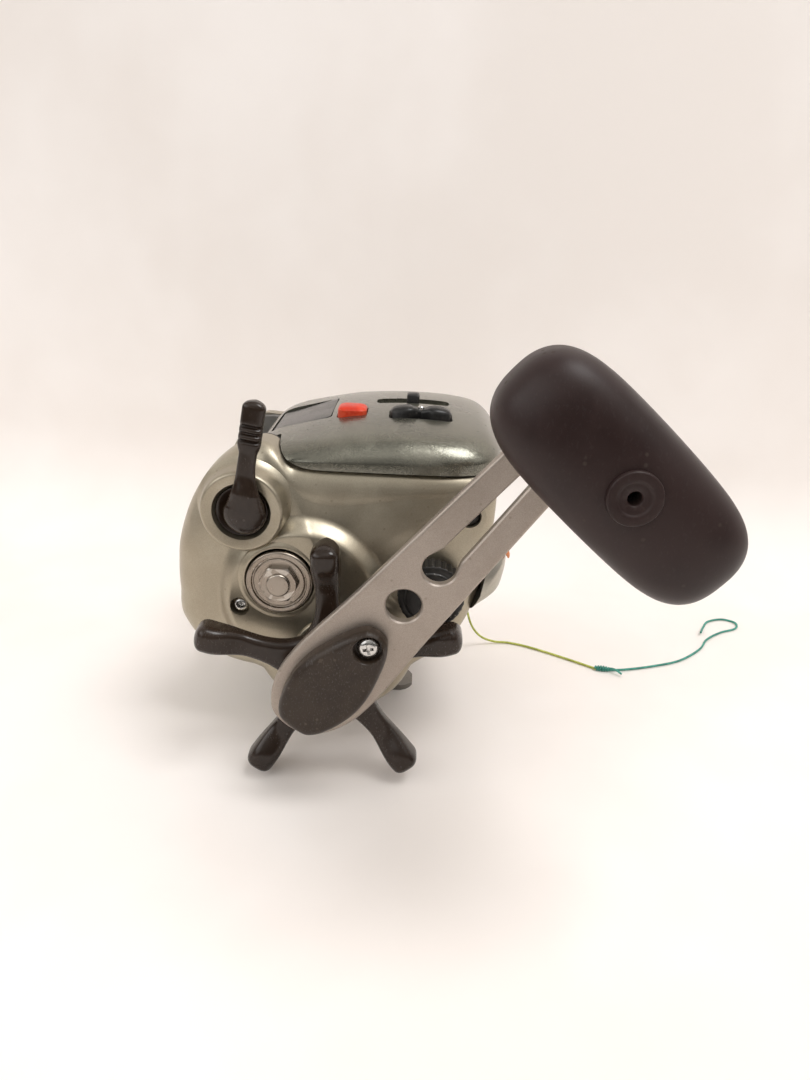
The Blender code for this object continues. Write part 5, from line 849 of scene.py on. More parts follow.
def makeArmCap():
    # leaf-shaped rows drawn in towards a middle as they rise by a quarter circle, then a flat top
    low, middle = arm["outer"] + 0.0003, np.array([arm["leafMiddle"], 0])
    leaf = (mirrored(arm["leaf"])[:-1] - middle) * arm["leafSize"]
    halves = np.abs(leaf).max(axis=0)
    rings = []
    for turn in np.radians(np.concatenate([[0, 0], np.linspace(0, 90, 14)[1:]])):
        rise = 0.0 if len(rings) == 0 else 0.56 + 0.44 * math.sin(turn)
        row = leaf * (1 - arm["leafDraw"] * (1 - math.cos(turn)) / halves) + middle
        rings.append(atX(alongArm(row), low + arm["leafHeight"] * rise))
    top = leaf * (1 - arm["leafDraw"] / halves)
    for share in (0.9, 0.7, 0.4, 0.15):
        rings.append(atX(alongArm(top * share + middle), rings[-1][0, 0] + flatRim))
    peak = alongArm(middle[None])[0]
    piece = ringSurface("handleCap", rings, (low, *peak), (rings[-1][0, 0], *peak), sharpAngle=60)
    spot = tuple(alongArm([[arm["screwAt"], 0]])[0])
    top = low + arm["leafHeight"]
    carve(piece, rod(low - 0.002, low + 0.0034, 0.0060, "shaft"),
          turnedTool(((top - 0.0025, 0.0037, 0), (top - 0.0002, 0.0039, 0.0002), (top + 0.0004, 0.0043, 0),
                      (top + 0.002, 0.0056, 0)), spot),
          rod(low - 0.002, top, arm["screwHole"], spot, around=24),
          sharpAngle=50)
    finishPiece(piece, "handle", "brown_plastic", "handle_cap")


knob = {
    "inner": 0.0985, "thickness": 0.0240, "length": 0.0590, "width": 0.0262, "turn": -42.0,
    "neckRadius": 0.0062, "neckStart": 0.0703, "hubRadius": 0.0052, "hubStand": 0.0009, "holeRadius": 0.0013,
    "flare": 1.55, "neckTop": 0.0900, "neckSunk": 0.1050, "hubSunk": 0.1150, "axleRadius": 0.0028,
}


def makeKnob():
    # barrel: sections are superellipses, and their size follows a superellipse along the length, with a slight taper
    share = np.sin(np.linspace(-math.pi / 2, math.pi / 2, 81))[1:-1]
    size = (1 - np.abs(share) ** 6.0) ** (1 / 2.4) * (1 - 0.10 * share ** 2)
    angle = fullTurn(120)
    across = signedPower(np.sin(angle), 0.74)
    depth = signedPower(np.cos(angle), 0.74)
    thick, wide, half = knob["thickness"] / 2, knob["width"] / 2, knob["length"] / 2
    x = knob["inner"] + thick + thick * size[:, None] * depth
    aside = wide * size[:, None] * across
    along = np.repeat(half * share[:, None], len(angle), axis=1)
    turn = math.radians(knob["turn"])
    rings = np.stack([x, *swung("knob", turn, along, aside)], axis=-1)
    ends = [(knob["inner"] + thick, *swung("knob", turn, end * half, 0)) for end in (-1, 1)]
    piece = ringSurface("handleKnob", rings, *ends, 60)
    start, neck, outer = knob["neckStart"], knob["neckRadius"], knob["inner"] + knob["thickness"]
    hub, stand = knob["hubRadius"], knob["hubStand"]
    weldOn(piece,
           turnedTool(((start, neck, 0.0006), (start + 0.0030, neck, 0.0014), (start + 0.0065, neck * 0.86, 0.0020),
                       (knob["neckTop"], neck * 0.90, 0.0040), (knob["inner"] + 0.0006, neck * knob["flare"], 0),
                       (knob["neckSunk"], neck * knob["flare"], 0)), "knob"),
           turnedTool(((knob["hubSunk"], hub, 0), (outer + stand, hub, 0.0005), (outer + stand, 0.0034, 0.0003),
                       (outer + 0.0005, 0.0029, 0.0002)), "knob"), sharpAngle=35)
    carve(piece, rod(start - 0.002, outer - 0.004, knob["axleRadius"], "knob", around=40),
          turnedTool(((start, knob["holeRadius"], 0), (outer + 0.0003, knob["holeRadius"], 0.0003),
                      (outer + 0.0009, 0.0020, 0), (outer + 0.003, 0.0040, 0)), "knob",
                     around=40), sharpAngle=50)
    finishPiece(piece, "knob", "brown_plastic", "handle_knob")


makeArm()
makeArmCap()
makeKnob()
print("handle made")

# clutch lever, brake knob, end cap and screws

lever = {"length": 0.0325, "hubRadius": 0.0060, "lean": 80.8, "neckHalf": 0.0024, "gripHalf": 0.0031,
         "low": 0.0452, "neckLow": 0.0478, "high": 0.0516, "seat": 0.0435, "dish": 0.0074, "shift": 0.0012,
         "grooves": (0.0216, 0.0236, 0.0256), "grooveDepth": 0.0009, "grooveHalf": 0.00048, "drop": 0.62}


def makeLever():
    # rows along the lever: a domed drop runs into a neck and a grip, with three grooves across the grip's face
    length, hub = lever["length"], lever["hubRadius"]
    along = -hub + (length + hub) * (0.5 - 0.5 * np.cos(np.linspace(0, math.pi, 200)))
    disc = np.sqrt(np.clip(hub ** 2 - along ** 2, 0, None))
    neck = lever["neckHalf"] + (lever["gripHalf"] - lever["neckHalf"]) * smoothStep((along - 0.0175) / 0.003)
    taper = (hub - 0.0004 - lever["neckHalf"]) * np.exp(-((along - 0.0008).clip(0) / 0.0068) ** 1.9)
    width = np.where(along > 0.0008, np.maximum(disc * (along < 0.002), neck + taper), disc)
    fromTip = length - along
    width = width * np.sqrt(roundedTip(fromTip, 0.0022, 2.6)) + 0.00002
    low = lever["low"] + (lever["neckLow"] - lever["low"]) * smoothStep((along - 0.0036) / 0.0030)
    top = lever["high"] - 0.0008 * smoothStep((along - 0.006) / 0.006) * smoothStep((0.022 - along) / 0.004)
    back = np.clip((0.0060 - along) / (0.0060 + hub), 0, 1)
    top = top - (lever["high"] - lever["low"]) * lever["drop"] * (1 - np.sqrt(1 - back ** 2.2))
    for start in lever["grooves"]:
        top = top - lever["grooveDepth"] * np.exp(-((along - start) / lever["grooveHalf"]) ** 2)
    height = (top - low) * (0.55 + 0.45 * np.sqrt(roundedTip(fromTip, 0.0020, 2)))
    square = (1.0 - 0.38 * smoothStep((along - 0.006) / 0.012))[:, None]
    shift = (lever["shift"] * smoothStep((0.0150 - along) / 0.0130))[:, None]
    piece = barPiece("clutchLever", "lever", math.radians(lever["lean"]), along, width, low[:, None], height, square,
                     64, shift)
    seat, dish = lever["seat"], lever["dish"]
    weldOn(piece, turnedTool(((0.0397, 0.0030, 0), (seat, 0.0030, 0), (seat, dish - 0.0012, 0.0006),
                              (0.0461, dish, 0.0003), (0.0464, dish - 0.0003, 0.0002),
                              (0.0461, dish - 0.0010, 0.0004), (0.0449, dish - 0.0030, 0.0010),
                              (0.0447, 0.0010, 0)), "lever"),
           sharpAngle=50)
    finishPiece(piece, "lever", "brown_plastic", "clutch_lever")


brake = {"radius": 0.0098, "low": 0.0423, "high": 0.0497, "stem": 0.0025, "ribs": 32, "ribDepth": 0.00065}


def makeBrake():
    # knurled rim: the radius follows a sharpened cosine round the axis, and fades out at the rounded ends
    low, high, radius, stem = (brake[key] for key in ("low", "high", "radius", "stem"))
    body = roundedPath(((0.0380, stem, 0), (low, stem, 0), (low, 0.0094, 0.0004), (0.0428, radius, 0.0004),
                        (0.0487, radius, 0.0006), (0.0491, 0.0090, 0.0005), (0.0491, 0.0078, 0.0002),
                        (0.0496, 0.0074, 0.0003), (high, 0.0060, 0.0002)))
    body = np.vstack([body[0:1], *[np.linspace(body[i], body[i + 1], 3)[1:] for i in range(len(body) - 1)]])
    angle = fullTurn(brake["ribs"] * 10)
    wave = brake["ribDepth"] * (0.5 - 0.5 * np.cos(angle * brake["ribs"])) ** 1.4
    onRim = smoothStep((body[:, 1] - 0.0090) / 0.0006)[:, None] * smoothStep((0.0489 - body[:, 0]) / 0.0006)[:, None]
    rings = [atX(polar(radius, angle, spots["brake"]), x) for x, radius in zip(body[:, 0], body[:, 1:2] - wave * onRim)]
    piece = ringSurface("brakeKnob", rings[1:-1], (body[0, 0], *spots["brake"]), (body[-1, 0], *spots["brake"]))
    finishPiece(piece, "brake", "black_plastic", "brake_knob")


nut = {"acrossFlats": 0.010, "low": 0.0466, "high": 0.0484}


def makeEndCap():
    profile = roundedPath(((0.0423, 0.0096, 0.0003), (0.0466, 0.0096, 0.0004), (0.0469, 0.0092, 0.0002),
                           (0.0469, 0.0081, 0.0001), (0.0463, 0.0079, 0.0001), (0.0463, 0.0075, 0.0001),
                           (0.0467, 0.0073, 0.0002), (0.0466, 0.0052, 0.0002)))
    cap = turnedPiece("spoolEndCap", profile, spots["spool"], 120)
    finishPiece(cap, "body", "steel", "spool_end_cap")
    hexagon = circleLoop(nut["acrossFlats"] / 2 / math.cos(math.pi / 6), 6, spots["spool"])
    low, high = nut["low"], nut["high"]
    piece = ringSurface("endCapNut", [atX(hexagon, level) for level in (low, high)], (low, *spots["spool"]),
                        (high, *spots["spool"]))
    keepInside(piece, turnedTool(((low, 0.0060, 0), (0.0480, 0.0060, 0), (high, 0.0051, 0)), "spool"), sharpAngle=20)
    weldOn(piece, turnedTool(((0.0470, 0.0035, 0), (0.0488, 0.0035, 0.0004), (0.0492, 0.0031, 0.0002)), "spool"),
           sharpAngle=20)
    finishPiece(piece, "body", "steel", "end_cap_nut")


def crossTool(spot, deep, top, reach, half, turn):
    # a tapered cross: two slabs at right angles that narrow downwards
    tools = []
    for quarter in (0, 1):
        swing = turn + quarter * math.pi / 2
        rows = []
        for level, share in ((deep, 0.35), (top + 0.001, 1.1)):
            box = np.array([[reach, half], [-reach, half], [-reach, -half], [reach, -half]]) * (share, max(share, 0.8))
            spin = np.array([[math.cos(swing), math.sin(swing)], [-math.sin(swing), math.cos(swing)]])
            rows.append(atX(box @ spin + spot, level))
        tools.append(ringSurface("tool", rows, (deep, *spot), (top + 0.001, *spot)))
    return tools


def makeScrew(name, spot, low, seat, head, height, shank, body, slotName, node, turn=0.4):
    # pan head on a shank, with a cross recess
    top = seat + height
    profile = roundedPath(((low, shank, 0), (seat, shank, 0), (seat, head, 0.0002),
                           (seat + height * 0.45, head, height * 0.4), (top, head * 0.62, height * 0.5)))
    piece = turnedPiece(name, profile, spot, 64, sharpAngle=28)
    carve(piece, *crossTool(spot, seat + height * 0.25, top, head * 0.66, head * 0.15, turn), sharpAngle=28)
    finishPiece(piece, body, slotName, node)


makeLever()
makeBrake()
makeEndCap()
makeScrew("rearCoverScrew", spots["rearScrew"], 0.0226, 0.0424, 0.0023, 0.0013, 0.0012, "body", "chrome",
          "cover_screw_rear")
makeScrew("frontCoverScrew", spots["frontScrew"], 0.0226, 0.0380, 0.0031, 0.0014, 0.0012, "body", "black_plastic",
          "cover_screw_front", 0.9)
makeScrew("capScrew", tuple(alongArm([[arm["screwAt"], 0]])[0]), 0.0653, 0.0710, arm["screwHead"], 0.0015, 0.0012,
          "handle", "chrome", "handle_cap_screw", 0.2)
print("small pieces made")

# front nose

nose = {"half": 0.0220, "wall": 0.0020, "soft": 0.0004, "inside": (0.0324, 0.0659),
        "outer": ((0.0455, 0.0902), (0.0459, 0.0690), (0.0463, 0.0640), (0.0466, 0.0600), (0.0463, 0.0556),
                  (0.0450, 0.0505), (0.0426, 0.0452), (0.0396, 0.0407)),
        "cheek": ((0.0458, 0.0700), (0.0480, 0.0691), (0.0500, 0.0675), (0.0508, 0.0651), (0.0505, 0.0612),
                  (0.0493, 0.0565), (0.0462, 0.0530), (0.0425, 0.0500), (0.0408, 0.0484)),
        "cheekBack": ((0.0404, 0.0479), (0.0431, 0.0547), (0.0452, 0.0664)), "cheekFrom": 0.0205, "cheekTo": 0.0412,
        "trim": ((0.0474, 0.0690), (0.0483, 0.0700), (0.0502, 0.0691), (0.0514, 0.0668), (0.0511, 0.0652),
                 (0.0499, 0.0668), (0.0486, 0.0682)), "trimHalf": 0.0370, "trimDip": 0.0034}


def makeCheek(side):
    # rows closed along the cover's front edge; towards the outer end their size follows a superellipse
    loop = evenLoop(np.vstack([throughPoints(np.array(nose["cheek"]), 8), nose["cheekBack"]]), 140)
    middle = np.array(nose["cheekBack"][1])
    rings = []
    for turn in np.radians(np.linspace(0, 87, 22)):
        share = math.sin(turn)
        row = middle + (loop - middle) * (1 - share ** 6) ** 0.5
        across = nose["cheekFrom"] + (nose["cheekTo"] - nose["cheekFrom"]) * share
        rings.append(atX(row, side * across))
    return closedBar("tool", rings)


def makeTrim():
    # a thin strip carried along X that bows back between the cheeks by a smooth step
    loop = evenLoop(throughPoints(np.array(nose["trim"])[::-1], 4, closed=True), 48)
    across = np.linspace(-nose["trimHalf"], nose["trimHalf"], 61)
    back = nose["trimDip"] * smoothStep((0.0290 - np.abs(across)) / 0.0130)
    fromEnd = np.clip((nose["trimHalf"] - np.abs(across)) / 0.0012, 0.05, 1)
    middle = loop.mean(axis=0)
    rings = [atX(middle + (loop - middle) * math.sqrt(size) - (dip, 0), x)
             for x, dip, size in zip(across, back, fromEnd)]
    piece = closedBar("noseTrim", rings)
    finishPiece(piece, "body", "orange_trim", "nose_trim")


def makeNose():
    # one curved section carried along X, with softened ends
    knots = np.array(nose["outer"])
    upper = np.linspace(knots[0], knots[1], 8)[:-1]
    curve = np.vstack([upper, throughPoints(knots[1:], 10)])
    ahead = np.gradient(curve, axis=0)
    normal = np.stack([ahead[:, 1], -ahead[:, 0]], axis=-1)
    normal /= np.linalg.norm(normal, axis=1, keepdims=True)
    facesIn = np.sum(normal * (np.array(nose["inside"]) - curve), axis=1, keepdims=True) > 0
    inward = np.where(facesIn, normal, -normal)
    half, soft = nose["half"], nose["soft"]
    rings = []
    for x, draw in ((-half, soft), (-half + soft, 0), (half - soft, 0), (half, soft)):
        row = np.vstack([curve + inward * draw, (curve + inward * (nose["wall"] - draw))[::-1]])
        rings.append(atX(row, x))
    rings = np.array(rings)
    count = len(curve)
    index = np.arange(rings.shape[0] * rings.shape[1]).reshape(rings.shape[0], -1)
    turned = np.roll(index, -1, axis=1)
    quads = [np.stack([index[:-1], index[1:], turned[1:], turned[:-1]], axis=-1).reshape(-1, 4)]
    for row, flip in ((0, False), (-1, True)):
        outerRow, innerRow = index[row][:count], index[row][count:][::-1]
        cap = np.stack([outerRow[:-1], outerRow[1:], innerRow[1:], innerRow[:-1]], axis=-1)
        quads.append(cap[:, ::-1] if flip else cap)
    piece = meshPiece("frontNose", rings.reshape(-1, 3), np.concatenate(quads))
    weldOn(piece, makeCheek(1), makeCheek(-1), sharpAngle=50)
    finishPiece(piece, "body", "light_silver", "front_cover")


makeNose()
makeTrim()
print("nose made")

# shader groups: each puts out masks, heights or normals that the materials share


def newGroup(name, inputs, outputs):
    # a node group with a Vector input and sockets by name, built once; the few that aren't plain numbers are vectors
    tree = bpy.data.node_groups.new(name, "ShaderNodeTree")
    for labels, way in (("Vector " + inputs, "INPUT"), (outputs, "OUTPUT")):
        for label in labels.split():
            kind = "Vector" if label in ("Vector", "Stretch", "Centre", "Normal") else "Float"
            tree.interface.new_socket(label, in_out=way, socket_type="NodeSocket" + kind)
    return tree, tree.nodes.new("NodeGroupInput").outputs, tree.nodes.new("NodeGroupOutput").inputs


def feed(tree, socket, value):
    # a socket takes another node's output or a plain value
    if isinstance(value, bpy.types.NodeSocket):
        tree.links.new(value, socket)
    else:
        socket.default_value = value


def addNode(tree, kind, inputs=None, **settings):
    made = tree.nodes.new("ShaderNode" + kind)
    for key, value in settings.items():
        setattr(made, key, value)
    for key, value in (inputs or {}).items():
        feed(tree, made.inputs[key], value)
    return made


def maths(tree, operation, first, second=0.0):
    return addNode(tree, "Math", {0: first, 1: second}, operation=operation).outputs[0]


def vectors(tree, operation, first, second=(0, 0, 0)):
    made = addNode(tree, "VectorMath", {0: first, 1: second}, operation=operation)
    return made.outputs["Value" if operation in ("LENGTH", "DOT_PRODUCT") else "Vector"]


def spreadRange(tree, value, low, high, toLow=0.0, toHigh=1.0):
    # a value between low and high carried smoothly to a new range
    return addNode(tree, "MapRange", {"Value": value, "From Min": low, "From Max": high, "To Min": toLow,
                                      "To Max": toHigh}, interpolation_type="SMOOTHSTEP").outputs["Result"]


def blendColours(tree, mask, first, second, kind="MIX"):
    # colours go in as rgb or as sockets
    first, second = ((*value, 1) if isinstance(value, tuple) else value for value in (first, second))
    made = addNode(tree, "Mix", data_type="RGBA", blend_type=kind)
    feed(tree, made.inputs["Factor"], mask)
    feed(tree, made.inputs[6], first)
    feed(tree, made.inputs[7], second)
    return made.outputs[2]


def noiseAt(tree, vector, scale, detail, **more):
    return addNode(tree, "TexNoise", {"Vector": vector, "Scale": scale, "Detail": detail, **more}).outputs["Fac"]


def groupPatches():
    # broad soft clouds: a noise whose middle values are stretched to black and white
    tree, start, end = newGroup("softPatches", "Scale", "Mask")
    noise = noiseAt(tree, start["Vector"], start["Scale"], 4.0, Roughness=0.6)
    feed(tree, end["Mask"], spreadRange(tree, noise, 0.36, 0.64))
    return tree


def groupFlakes():
    # paint flakes: every cell of a Voronoi pattern gets its own brightness and its own small tilt of the normal
    tree, start, end = newGroup("paintFlakes", "Scale Tilt", "Glint Normal")
    cells = addNode(tree, "TexVoronoi", {"Vector": start["Vector"], "Scale": start["Scale"]}).outputs["Color"]
    tilt = vectors(tree, "SUBTRACT", cells, (0.5, 0.5, 0.5))
    scaled = addNode(tree, "VectorMath", {0: tilt, "Scale": start["Tilt"]}, operation="SCALE").outputs["Vector"]
    normal = addNode(tree, "NewGeometry").outputs["Normal"]
    feed(tree, end["Normal"], vectors(tree, "NORMALIZE", vectors(tree, "ADD", normal, scaled)))
    feed(tree, end["Glint"], addNode(tree, "SeparateColor", {"Color": cells}).outputs["Red"])
    return tree


def groupScratches():
    # hair scratches: a noise drawn out along one direction, of which only a narrow band of values is kept
    tree, start, end = newGroup("hairScratches", "Stretch Share", "Mask Height")
    drawn = vectors(tree, "MULTIPLY", start["Vector"], start["Stretch"])
    bent = noiseAt(tree, drawn, 1.0, 2.0, Distortion=0.6)
    mask = spreadRange(tree, bent, start["Share"], maths(tree, "ADD", start["Share"], 0.05))
    feed(tree, end["Mask"], mask)
    feed(tree, end["Height"], maths(tree, "MULTIPLY", mask, -1.0))
    return tree


def groupGrain():
    # moulded grain: two sizes of noise added together
    tree, start, end = newGroup("mouldGrain", "Scale", "Height")
    coarse = noiseAt(tree, start["Vector"], start["Scale"], 3.0)
    finer = maths(tree, "MULTIPLY", start["Scale"], 1.7)
    fine = addNode(tree, "TexVoronoi", {"Vector": start["Vector"], "Scale": finer}).outputs["Distance"]
    feed(tree, end["Height"], maths(tree, "ADD", coarse, maths(tree, "MULTIPLY", fine, 0.4)))
    return tree


def groupRings():
    # turning marks: a sine of the distance from an axis along X, shaken a little by noise
    tree, start, end = newGroup("turningMarks", "Centre Pitch", "Height Mask")
    flat = vectors(tree, "MULTIPLY", vectors(tree, "SUBTRACT", start["Vector"], start["Centre"]), (0, 1, 1))
    reach = vectors(tree, "LENGTH", flat)
    shake = maths(tree, "MULTIPLY", noiseAt(tree, start["Vector"], 250.0, 2.0), 9.0)
    wave = maths(tree, "SINE", maths(tree, "ADD", maths(tree, "MULTIPLY", reach, start["Pitch"]), shake))
    band = addNode(tree, "TexNoise", {"W": maths(tree, "MULTIPLY", reach, 2600.0), "Scale": 1.0, "Detail": 3.0},
                   noise_dimensions="1D").outputs["Fac"]
    feed(tree, end["Height"], wave)
    feed(tree, end["Mask"], spreadRange(tree, band, 0.35, 0.65))
    return tree


def groupEdges():
    # worn edges: the mesh's convex corners, broken up by noise
    tree, start, end = newGroup("wornEdges", "Start", "Mask")
    sharp = addNode(tree, "NewGeometry").outputs["Pointiness"]
    noise = noiseAt(tree, start["Vector"], 900.0, 3.0)
    lifted = maths(tree, "ADD", sharp, maths(tree, "MULTIPLY", maths(tree, "SUBTRACT", noise, 0.5), 0.10))
    feed(tree, end["Mask"], spreadRange(tree, lifted, start["Start"], maths(tree, "ADD", start["Start"], 0.06)))
    return tree


def groupSpecks():
    # sparse small specks of dust and pits, picked from the cells of a Voronoi pattern
    tree, start, end = newGroup("dustSpecks", "Scale Share", "Mask")
    cells = addNode(tree, "TexVoronoi", {"Vector": start["Vector"], "Scale": start["Scale"]}).outputs
    pick = addNode(tree, "SeparateColor", {"Color": cells["Color"]}).outputs["Green"]
    chosen = maths(tree, "LESS_THAN", pick, start["Share"])
    feed(tree, end["Mask"], maths(tree, "MULTIPLY", chosen, spreadRange(tree, cells["Distance"], 0.35, 0.12)))
    return tree


def groupBraid():
    # braid: two sets of strands cross as sines of the turn round the line and the distance along it; the mask is low in
    # the grooves between strands
    tree, start, end = newGroup("lineBraid", "", "Height Mask")
    parts = addNode(tree, "SeparateXYZ", {"Vector": start["Vector"]}).outputs
    turn = maths(tree, "MULTIPLY", maths(tree, "ARCTAN2", parts["Y"], parts["X"]), 2.0)
    travel = maths(tree, "MULTIPLY", parts["Z"], 5200.0)
    strands = [maths(tree, "SINE", maths(tree, kind, travel, turn)) for kind in ("ADD", "SUBTRACT")]
    height = maths(tree, "MAXIMUM", *strands)
    feed(tree, end["Height"], height)
    feed(tree, end["Mask"], spreadRange(tree, height, 0.2, 0.9))
    return tree


shaderGroups = {made.name: made for made in (groupPatches(), groupFlakes(), groupScratches(), groupGrain(),
                                             groupRings(), groupEdges(), groupSpecks(), groupBraid())}
print("shader groups made")

